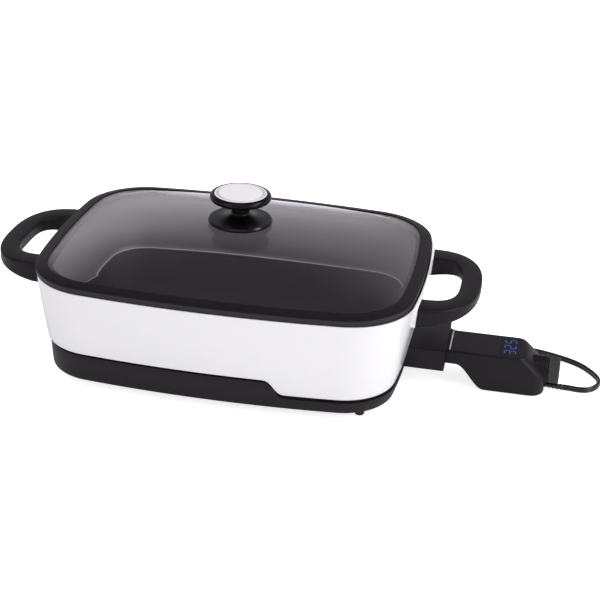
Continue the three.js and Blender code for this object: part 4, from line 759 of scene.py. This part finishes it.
def makeBase():
    bottom, soft, edge = base["bottom"], base["round"], base["edge"]
    outer, lip = base["topInset"], base["lipInset"]
    inner = lip + base["lipWall"]
    top = lambda x: lowEdge(x, base["groove"])
    between = lambda share: lambda x: bottom + (top(x) - bottom) * share
    rings = arcPoints((base["inset"] + soft, bottom + soft), soft, 270, 180, 5)
    rings += [(base["inset"] + (outer - base["inset"]) * share, between(share)) for share in (0.3, 0.7)]
    rings += [(outer, lambda x: top(x) - edge), (outer + edge * 0.3, lambda x: top(x) - edge * 0.3)]
    rings += [(outer + edge, top), (lip, top), (lip, base["lipTop"]), (inner, base["lipTop"])]
    rings += arcPoints((inner + soft, bottom + base["floor"] + soft), soft, 180, 270, 4)
    bm = loft(planRings(rings))
    openWindow(bm)
    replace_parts(keep("baseTray", bm, baseResin, "skillet_body"), "base_tray")


makeBase()
print("base made")

# Pan: coated casting, seen through the lid
pan = {"under": 51, "mouth": 13.6, "draft": 12, "fillet": 8, "wall": 3.5, "flange": 4, "flangeInset": 2.7, "lip": 0.9}


def makePan():
    mouth, lip, fillet = pan["mouth"], pan["lip"], pan["fillet"]
    foot, bend, flange = mouth + pan["draft"], panFloor + fillet, rimTop - pan["flange"]
    rings = [(foot + fillet, pan["under"]), (foot, pan["under"] + fillet / 2), (foot - pan["wall"], bend),
             (mouth - pan["wall"], flange), (pan["flangeInset"], flange), (pan["flangeInset"], rimTop)]
    rings += arcPoints((mouth - lip, rimTop - lip), lip, 90, 0, 4)
    rings += [(mouth + pan["draft"] * share, rimTop + (bend - rimTop) * share) for share in (0.25, 0.5, 0.75)]
    rings += arcPoints((foot + fillet, bend), fillet, 180, 270, 8)
    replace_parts(keep("coatedPan", loft(planRings(rings)), coating, "skillet_body"), "pan")


makePan()
print("pan made")

# Lid: silicone ring and domed glass
lid = {"seat": rimTop + 0.3, "band": 6.4, "width": 12.5, "slope": 0.22, "crown": 0.25, "round": 0.9,
       "roundRise": 0.1, "roundArc": (170, 100, 4), "edgeCut": 0.36, "draft": 0.7, "lip": 0.6, "pocket": 5,
       "skirtOuter": 15.7, "skirtInner": 17.9, "skirt": 1.2, "glass": 3.5, "glassInset": 5.4, "seatGap": 0.3,
       "domeInset": 14, "dome": 28.9, "power": 1.85, "oval": 2, "ovalGain": 1.2, "keeps": 8, "border": 0.08,
       "borderRise": 0.7, "borderShares": [1, 0.988, 0.976, 0.964, 0.952, 0.94, 0.93], "domeRows": 40, "hole": 0.02}


def ringTop(inset):
    return lid["seat"] + lid["band"] + lid["slope"] * inset


def makeRing():
    seat, soft, width, cut = [lid[key] for key in ("seat", "round", "width", "edgeCut")]
    shoulder, low, pocket = seat + lid["band"] - soft, seat - lid["skirt"], lid["glassInset"] - lid["seatGap"]
    glassTop = lambda inset: ringTop(inset) - lid["lip"]
    glassUnder = lambda inset: glassTop(inset) - lid["glass"] - 2 * lid["seatGap"]
    rings = [(lid["draft"], seat), (0, shoulder)]
    rings += arcPoints((soft, shoulder + lid["roundRise"]), soft, *lid["roundArc"])
    rings += [(width * share, ringTop(width * share) + lid["crown"] * math.sin(math.pi * share))
              for share in (0.25, 0.5, 0.75)]
    rings += [(width, ringTop(width)), (width + cut, ringTop(width) - cut), (width + cut, glassTop(width)),
              (pocket, glassTop(lid["pocket"])), (pocket, glassUnder(lid["pocket"])),
              (lid["skirtInner"], glassUnder(lid["domeInset"])), (lid["skirtInner"], low), (lid["skirtOuter"], low),
              (lid["skirtOuter"], seat)]
    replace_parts(keep("siliconeRing", loft(planRings(rings), joined=True), silicone, "lid"), "lid_ring")


def domeRing(share, z):
    # Level lines of the dome: the lid's outline at the edge, rounder towards the apex
    length, width = plan["halfLength"] - lid["domeInset"], plan["halfWidth"] - lid["domeInset"]
    power, keeps = lid["oval"] + lid["ovalGain"] * share, share ** lid["keeps"]
    points = []
    for p in outline(lid["domeInset"]):
        reach = p.length
        oval = ((abs(p.x) / length / reach) ** power + (abs(p.y) / width / reach) ** power) ** (-1 / power)
        at = p * (share * (keeps + (1 - keeps) * oval / reach))
        points.append(place(at.x, at.y, z))
    return points


def domeLift(share):
    # Height over the dome's edge: a steeper border, then the curve to the apex
    border = smooth((1 - share) / lid["border"])
    return lid["borderRise"] * border + (lid["dome"] - lid["borderRise"]) * (1 - share ** lid["power"])


def makeGlass():
    rows, thick, inner = lid["domeRows"], lid["glass"], 1 - lid["border"]
    edgeTop, domeTop = [ringTop(lid[key]) - lid["lip"] - lid["seatGap"] for key in ("glassInset", "domeInset")]
    shares = lid["borderShares"] + [inner - (inner - lid["hole"]) * i / rows for i in range(rows + 1)]
    lower, upper = [[domeRing(share, domeTop - deep + domeLift(share)) for share in shares] for deep in (thick, 0)]
    edge = planRings([(lid["glassInset"], edgeTop - thick), (lid["glassInset"], edgeTop)])
    bm = loft(lower[::-1] + edge + upper, joined=True)
    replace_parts(keep("domedGlass", bm, glass, "lid", angle=50), "lid_glass")
    return domeTop + lid["dome"]


makeRing()
domeApex = makeGlass()
print("lid made")

# Knob: flared base, round grip with a rounded rim, spun inlay with two engraved rings
knob = {"gap": 0.3, "bore": 2.6, "recess": 30.4, "rim": 33.2, "rimHigh": 1.2, "rimRound": 1.4,
        "rimArc": (-60, 60, 5), "lip": -0.5, "shoulder": (33.6, 2.7), "flare": 33.0, "edge": 3.4, "neck": 9.6,
        "flareTop": 11, "flareSteps": 16, "boreDepth": 11, "fillet": 3, "chamfer": 0.4,
        "under": ((22, 0.4), (28, 1.4)), "grip": 32.9, "gripEdge": 4.0, "gripArc": (-50, 80, 10), "height": 32,
        "thick": 8.4, "pocket": 1, "inlay": 28, "inlayGap": 0.15, "inlayFoot": 0.7, "inlayEdge": 0.3,
        "inlayFace": 0.05, "lines": (2.4, 3.9), "line": (0.45, 0.2), "lineDeep": 0.4}


def makeKnob():
    apex = (midX, 0, (domeApex + knob["gap"]) * mm)
    bore, neck, rim, lip, high, recess = [knob[key] for key in ("bore", "neck", "rim", "lip", "flareTop", "recess")]
    angles = [math.pi / 2 * i / knob["flareSteps"] for i in range(knob["flareSteps"] + 1)]
    profile = [(bore, 0), (recess, 0), (recess, lip), (rim, lip)]
    profile += arcPoints((rim, knob["rimHigh"]), knob["rimRound"], *knob["rimArc"]) + [knob["shoulder"]]
    profile += [(neck + (knob["flare"] - neck) * (1 - math.sin(a)),
                 knob["edge"] + (high - knob["edge"]) * (1 - math.cos(a))) for a in angles]
    profile += [(bore, high), (bore, 0)]
    base = keep("knobBase", spunPiece(profile, apex), glossResin, "lid", angle=40)
    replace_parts(base, "knob_base")
    top, under, start = knob["height"], knob["height"] - knob["thick"], high + knob["gap"]
    fillet, soft, hole = knob["fillet"], knob["gripEdge"], knob["inlay"] + knob["inlayGap"]
    deep, cut, floor = start + knob["boreDepth"], knob["chamfer"], top - knob["pocket"]
    profile = [(0, deep), (bore, deep), (bore, start), (neck - cut, start), (neck, start + cut),
               (neck, under - fillet)]
    profile += arcPoints((neck + fillet, under - fillet), fillet, 180, 90, 5)
    profile += [(radius, under + rise) for radius, rise in knob["under"]]
    profile += arcPoints((knob["grip"] - soft, top - soft), soft, *knob["gripArc"])
    profile += [(hole, top), (hole, floor), (0, floor)]
    grip = keep("knobGrip", spunPiece(profile, apex), glossResin, "lid", angle=40)
    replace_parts(grip, "knob_grip")
    reach, face, (wide, narrow) = knob["inlay"], top - knob["inlayFace"], knob["line"]
    foot, edge = top - knob["inlayFoot"], knob["inlayEdge"]
    profile = [(0, foot), (reach, foot), (reach, top - edge), (reach - edge, face)]
    for back in knob["lines"]:
        deep = face - knob["lineDeep"]
        profile += [(reach - back + wide, face), (reach - back + narrow, deep), (reach - back - narrow, deep),
                    (reach - back - wide, face)]
    profile.append((0, face))
    inlay = keep("knobInlay", spunPiece(profile, apex), spunSteel, "lid", angle=30)
    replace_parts(inlay, "knob_inlay")


makeKnob()
print("knob made")

# Handles: open loops that taper to the grip. The left one's arms end in the shell's wall; the right
# one's end at a leaning plane, with a white stand-off pad between each arm and the shell
handle = {"top": 114, "reach": 58.8, "half": 78.5, "power": 0.8, "gripReach": 36.9, "gripHalf": 51.7,
          "gripPower": 0.6, "innerRound": 3.2, "thick": 22, "tipThick": 10.5, "round": 2.4, "underRound": 1.5,
          "crown": 0.5, "crownShares": (0.12, 0.32, 0.5, 0.68, 0.88), "ease": 1, "underShares": (0.7, 0.3),
          "steps": 72, "seat": 0.7, "root": 204.6, "rootReach": 0.6, "lean": 0.069, "turn": 0.055, "turnFrom": 55}


def loopPoint(reach, half, power, angle):
    along, aside = math.cos(angle), math.sin(angle)
    return Vector((reach * abs(along) ** power, half * math.copysign(abs(aside) ** power, aside)))


def handleSection(angle, side, atWall):
    # A closed section across the loop: rounded edges, a slightly crowned top
    outer = loopPoint(handle["reach"], handle["half"], handle["power"], angle)
    inner = loopPoint(handle["gripReach"], handle["gripHalf"], handle["gripPower"], angle)
    wide = (outer - inner).length
    across = (outer - inner) / wide
    top, soft, under, inside, ease = [handle[key] for key in ("top", "round", "underRound", "innerRound", "ease")]
    thinning = (handle["thick"] - handle["tipThick"]) / handle["reach"]
    low = lambda s: top - handle["thick"] + thinning * max((inner + across * s).x, 0)
    points = arcPoints((soft, top - soft), soft, 180, 90, 5)
    points += [(soft + (wide - 2 * soft) * share, top + handle["crown"] * 4 * share * (1 - share))
               for share in handle["crownShares"]]
    points += arcPoints((wide - soft, top - soft), soft, 90, 0, 5)
    points += [(wide, top - soft - ease), (wide, low(wide) + under + ease)]
    points += arcPoints((wide - under, low(wide) + under), under, 0, -90, 4)
    points += [(wide * share, low(wide * share)) for share in handle["underShares"]]
    points += arcPoints((inside, low(inside) + inside), inside, 270, 180, 4)
    points += [(0, low(0) + inside + ease), (0, top - soft - ease)]
    ring = []
    for s, z in points:
        at = inner + across * s
        x = plan["halfLength"] + at.x
        if (outer.x + inner.x) / 2 < handle["rootReach"]:
            x = handle["root"] - handle["lean"] * (top - z) - handle["turn"] * (abs(at.y) - handle["turnFrom"])
            if atWall:
                x = shellEndX(at.y, z, side) - handle["seat"]
        ring.append(place(side * x, at.y, z))
    return ring


def makeHandle(name, side):
    angles = [-math.pi / 2 + math.pi * i / handle["steps"] for i in range(handle["steps"] + 1)]
    bm = loft([handleSection(angle, side, side < 0) for angle in angles])
    piece = keep(name + "Handle", bm, phenolic, "skillet_body", angle=32)
    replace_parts(piece, "handle_" + name)
    if side > 0:
        for arm, angle in (("front", angles[0]), ("rear", angles[-1])):
            bm = loft([handleSection(angle, side, True), handleSection(angle, side, False)])
            keep(f"handlePad_{name}_{arm}", bm, enamel, "skillet_body", angle=32)


makeHandle("right", 1)
makeHandle("left", -1)
print("handles made")

# Guard: a moulded shroud round the pins, with two screw bosses
guard = {"halfY": 36.5, "halfZ": 12.3, "axis": 35.9, "wall": 2.6, "round": 1.6, "leastRound": 0.5, "edge": 0.7,
         "mouth": 232, "seat": 0.6, "bossY": 30.3, "boss": 3.8, "bossEdge": 0.5, "bore": 2, "bossLength": 9}


def makeGuard():
    axis, mouth, edge, wall = guard["axis"], guard["mouth"], guard["edge"], guard["wall"]

    def ring(shrink, x=None):
        soft = max(guard["round"] - shrink, guard["leastRound"])
        return [place(x or shellEndX(a, axis + b) - guard["seat"], a, axis + b)
                for a, b in roundedBox(guard["halfY"] - shrink, guard["halfZ"] - shrink, soft)]

    rings = [ring(0), ring(0, mouth - edge), ring(edge * 0.3, mouth - edge * 0.3), ring(edge, mouth),
             ring(wall - edge * 0.5, mouth), ring(wall, mouth - edge * 0.5), ring(wall)]
    piece = keep("pinGuard", loft(rings, joined=True), phenolic, "skillet_body", angle=30)
    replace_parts(piece, "probe_guard")
    start = shellEndX(guard["bossY"], axis) - guard["seat"]
    bore, boss, end, soft = guard["bore"], guard["boss"], guard["bossLength"], guard["bossEdge"]
    profile = [(bore, 0), (boss, 0), (boss, end - soft), (boss - soft, end), (bore, end), (bore, 0)]
    for name, y in (("front", -guard["bossY"]), ("rear", guard["bossY"])):
        bm = spunPiece(profile, place(start, y, axis), "X", 32)
        keep("guardBoss_" + name, bm, phenolic, "skillet_body")


makeGuard()
print("guard made")

# Heat control: X from the guard's mouth, Z from the pins' axis, in millimetres
control = {"half": 26, "rise": 7.75, "noseDrop": 7.75, "nose": 36, "length": 106.5, "drop": 34.75,
           "throat": (11, 43.5, 0.36), "shoulder": (83.5, 104.5, 0.2), "shoulderDrop": 17, "shoulderTurn": 0.7,
           "rear": 15, "round": 1.7, "shoulderRound": 5.5, "roundFrom": 76, "roundRun": 13, "underRound": 2.2,
           "axisDrop": 13.15, "collar": 15.2, "collarFrom": 86, "collarProud": 1.8, "collarEdge": 1.0,
           "collarEase": 0.2, "bore": 3.2, "groove": (2.2, 0.45)}
# Stations along the case, closer where it bends, and columns in from its sides and in shares of the rest
stations = [-control["nose"] + v for v in (0.01, 0.4, 1)] + [-20, -8, 0, 5, 9] + [11 + 34 * i / 20 for i in range(21)]
stations += [49, 55, 61, 67, 72, 76] + [79 + 19 * i / 18 for i in range(19)]
stations += [control["length"] - v for v in (7.4, 6.5, 5.4, 4.4, 3.5, 2.6, 1.9, 1.3, 0.8, 0.4, 0.15, 0.0)]
sideColumns = [0, 0.05, 0.2, 0.45, 0.8, 1.25, 1.8, 2.6, 3.6, 4.8, 6.5, 8.5]
midColumns = [0.22, 0.5, 0.78]


def atControl(x, y, z):
    return Vector((mouthX + x * mm, y * mm, (guard["axis"] + z) * mm))


def cornerLoss(into):
    # How far a round rear corner has drawn in, at a distance into it
    return control["rear"] - math.sqrt(max(control["rear"] ** 2 - max(into, 0) ** 2, 0))


def controlWidth(x):
    return control["half"] - cornerLoss(x - control["length"] + control["rear"])


def edgeRound(x, y, radius):
    # Height lost to the rounded edge, by the distance in from the plan outline
    corner, far = control["length"] - control["rear"], control["half"] - control["rear"]
    if x > corner and abs(y) > far:
        distance = max(control["rear"] - math.hypot(x - corner, abs(y) - far), 0)
    else:
        distance = max(min(control["half"] - abs(y), control["length"] - x), 0)
    return radius - math.sqrt(radius ** 2 - max(radius - distance, 0) ** 2)


def controlTop(x, y):
    turned = cornerLoss(abs(y) - control["half"] + control["rear"])
    slope = curveAt(x + control["shoulderTurn"] * turned, *control["shoulder"])
    gain = smooth((x - control["roundFrom"]) / control["roundRun"])
    radius = control["round"] + (control["shoulderRound"] - control["round"]) * gain
    return control["rise"] - control["shoulderDrop"] * slope - edgeRound(x, y, radius)


def controlUnder(x, y):
    slope = curveAt(x, *control["throat"])
    return (edgeRound(x, y, control["underRound"]) - control["noseDrop"]
            - (control["drop"] - control["noseDrop"]) * slope)


def makeCase():
    # A grid and its extrusion, laid on the underside and the top
    sides, mids = len(sideColumns), len(midColumns)
    lastX, lastY = len(stations) - 1, 2 * sides + mids - 1

    def across(j, width):
        if j < sides:
            return sideColumns[j] - width
        if j >= sides + mids:
            return width - sideColumns[lastY - j]
        return (width - sideColumns[-1]) * (2 * midColumns[j - sides] - 1)

    bm = bmesh.new()
    bmesh.ops.create_grid(bm, x_segments=lastX, y_segments=lastY, size=1)
    grown = bmesh.ops.extrude_face_region(bm, geom=list(bm.faces), use_keep_orig=True)["geom"]
    tops = set(vertsIn(grown))
    for vert in bm.verts:
        x = stations[round((vert.co.x + 1) / 2 * lastX)]
        y = across(round((vert.co.y + 1) / 2 * lastY), controlWidth(x))
        vert.co = atControl(x, y, controlTop(x, y) if vert in tops else controlUnder(x, y))
    outward(bm)
    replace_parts(keep("controlCase", bm, phenolic, "heat_control", angle=38), "control_case")


def makeCollar():
    radius, soft, bore, (inner, deep) = [control[key] for key in ("collar", "collarEdge", "bore", "groove")]
    run = control["length"] + control["collarProud"] - control["collarFrom"]
    profile = [(bore, 0), (radius, 0), (radius, run - soft - control["collarEase"])]
    profile += arcPoints((radius - soft, run - soft), soft, 10, 90, 4)
    profile += [(radius - inner, run), (radius - inner, run + deep), (bore, run + deep), (bore, 0)]
    centre = atControl(control["collarFrom"], 0, -control["axisDrop"])
    keep("dialCollar", spunPiece(profile, centre, "X", 72), phenolic, "heat_control")


makeCase()
makeCollar()
print("control case made")

# Cover, window, lit figures and trim line in the control's top
display = {"cover": (4.7, 54.7), "window": (55, 79.7), "half": 23.6, "thick": 2.4, "proud": 0.12, "edge": 0.35,
           "trim": (3.1, 4.4), "trimHalf": 22, "trimThick": 0.6, "trimProud": 0.3, "trimEdge": 0.15,
           "pitch": 12.4, "middle": 66.8, "tall": 11.6, "wide": 7.0, "stroke": 0.85, "gap": 0.5, "bar": 0.6,
           "barProud": 0.03, "figures": ("abgcd", "abged", "afgcd")}


def plate(name, span, half, thick, proud, edge, material, slot, replaced):
    bm = bmesh.new()
    bmesh.ops.create_cube(bm, size=1)
    low, high = control["rise"] - thick, control["rise"] + proud
    for vert in bm.verts:
        x, y, z = vert.co
        vert.co = atControl(span[x > 0], math.copysign(half, y), high if z > 0 else low)
    outward(bm)
    piece = keep(name, bm, material, "heat_control", bevel=edge * mm, segments=3, angle=30)
    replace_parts(piece, replaced)


def litBar(bm, x, y, length, alongY, top):
    # A six-sided bar with pointed ends
    half, tip = display["stroke"] / 2, length / 2 - display["stroke"] / 2
    shape = [(-length / 2, 0), (-tip, -half), (tip, -half), (length / 2, 0), (tip, half), (-tip, half)]
    if alongY:
        shape = [(-b, a) for a, b in shape]
    face = bm.faces.new([bm.verts.new(atControl(x + a, y + b, top - display["bar"])) for a, b in shape])
    grown = bmesh.ops.extrude_face_region(bm, geom=[face], use_keep_orig=True)["geom"]
    bmesh.ops.translate(bm, verts=vertsIn(grown), vec=(0, 0, display["bar"] * mm))


def makeDisplay():
    tall, wide, gap, *raised = [display[key] for key in ("tall", "wide", "gap", "half", "thick", "proud", "edge")]
    plate("controlCover", display["cover"], *raised, phenolic, "black_plastic", "control_cover")
    plate("displayWindow", display["window"], *raised, acrylic, "black_gloss", "display_window")
    plate("trimLine", display["trim"], display["trimHalf"], display["trimThick"], display["trimProud"],
          display["trimEdge"], greyLine, "grey_trim", "control_trim")
    bars = {"a": (-tall / 2, 0, True), "g": (0, 0, True), "d": (tall / 2, 0, True),
            "f": (-tall / 4, -wide / 2, False), "b": (-tall / 4, wide / 2, False),
            "e": (tall / 4, -wide / 2, False), "c": (tall / 4, wide / 2, False)}
    top = control["rise"] + display["proud"] + display["barProud"]
    bm = bmesh.new()
    for index, letters in enumerate(display["figures"]):
        for dx, dy, alongY in [bars[letter] for letter in letters]:
            length = (wide if alongY else tall / 2) - 2 * gap
            litBar(bm, display["middle"] + dx, (index - 1) * display["pitch"] + dy, length, alongY, top)
    outward(bm)
    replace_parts(keep("litFigures", bm, litBlue, "heat_control"), "display_module")


makeDisplay()
print("display made")

# Dial: ribbed rim, rounded face edge, shallow dish
dial = {"radius": 14.2, "length": 12.2, "gap": 0.5, "ribs": 36, "rib": 0.45, "wave": (0, 0.55, 1, 1, 0.55, 0),
        "round": 2.4, "roundSteps": 5, "foot": ((0, 1.2), (0.5, 0.3), (1.2, 0)), "ribFrom": 1.8, "ribEase": 0.3,
        "dish": 1.0, "dishEdge": (0.1, 1), "dishSlope": 1.6, "middle": ((5, 0), (0.6, 0.1))}


def makeDial():
    start = control["length"] + control["collarProud"] + dial["gap"]
    wave = dial["wave"] * dial["ribs"]

    def ring(x, radius, share=0):
        points = []
        for i, cut in enumerate(wave):
            angle, r = 2 * math.pi * i / len(wave), radius - dial["rib"] * share * cut
            points.append(atControl(start + x, r * math.cos(angle), r * math.sin(angle) - control["axisDrop"]))
        return points

    radius, soft, end, steps = dial["radius"], dial["round"], dial["length"], dial["roundSteps"]
    floor, (deep, back) = end - dial["dish"], dial["dishEdge"]
    rings = [ring(0, control["bore"])] + [ring(x, radius - cut) for x, cut in dial["foot"]]
    rings += [ring(x, radius, 1) for x in (dial["ribFrom"], end - soft - dial["ribEase"])]
    for i in range(steps + 1):
        a = math.pi / 2 * i / steps
        rings.append(ring(end - soft + soft * math.sin(a), radius - soft + soft * math.cos(a), 1 - i / steps))
    rings += [ring(end - deep, radius - soft - back), ring(floor, radius - soft - back - dial["dishSlope"])]
    rings += [ring(floor + rise, reach) for reach, rise in dial["middle"]]
    bm = bmesh.new()
    bmesh.ops.edgeloop_fill(bm, edges=growRings(bm, rings)[1])
    outward(bm)
    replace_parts(keep("controlDial", bm, dialResin, "dial", angle=28), "temperature_dial")


makeDial()
print("dial made")

# Feet: moulded rubber, with a soft lower edge
foot = {"radius": 6.2, "taper": 1.2, "height": 11.2, "round": 1.4, "recess": (2.4, 0.2), "places": (150.626, 104.88),
        "shift": 3.5}


def makeFeet():
    x, y = foot["places"]
    inner, rise = foot["recess"]
    high, soft, lower = foot["height"], foot["round"], foot["radius"] - foot["taper"]
    profile = [(0, rise), (lower - inner, rise), (lower - soft - 0.3, 0)]
    profile += arcPoints((lower - soft, soft), soft, -90, -5, 5) + [(foot["radius"], high), (0, high)]
    for name, sx, sy in (("front_left", -1, -1), ("front_right", 1, -1), ("rear_left", -1, 1), ("rear_right", 1, 1)):
        bm = spunPiece(profile, place(sx * x + foot["shift"], sy * y, 0), "Z", 40)
        piece = keep("rubberFoot_" + name, bm, footRubber, "skillet_body", angle=40)
        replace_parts(piece, "foot_" + name)


makeFeet()
print("feet made")
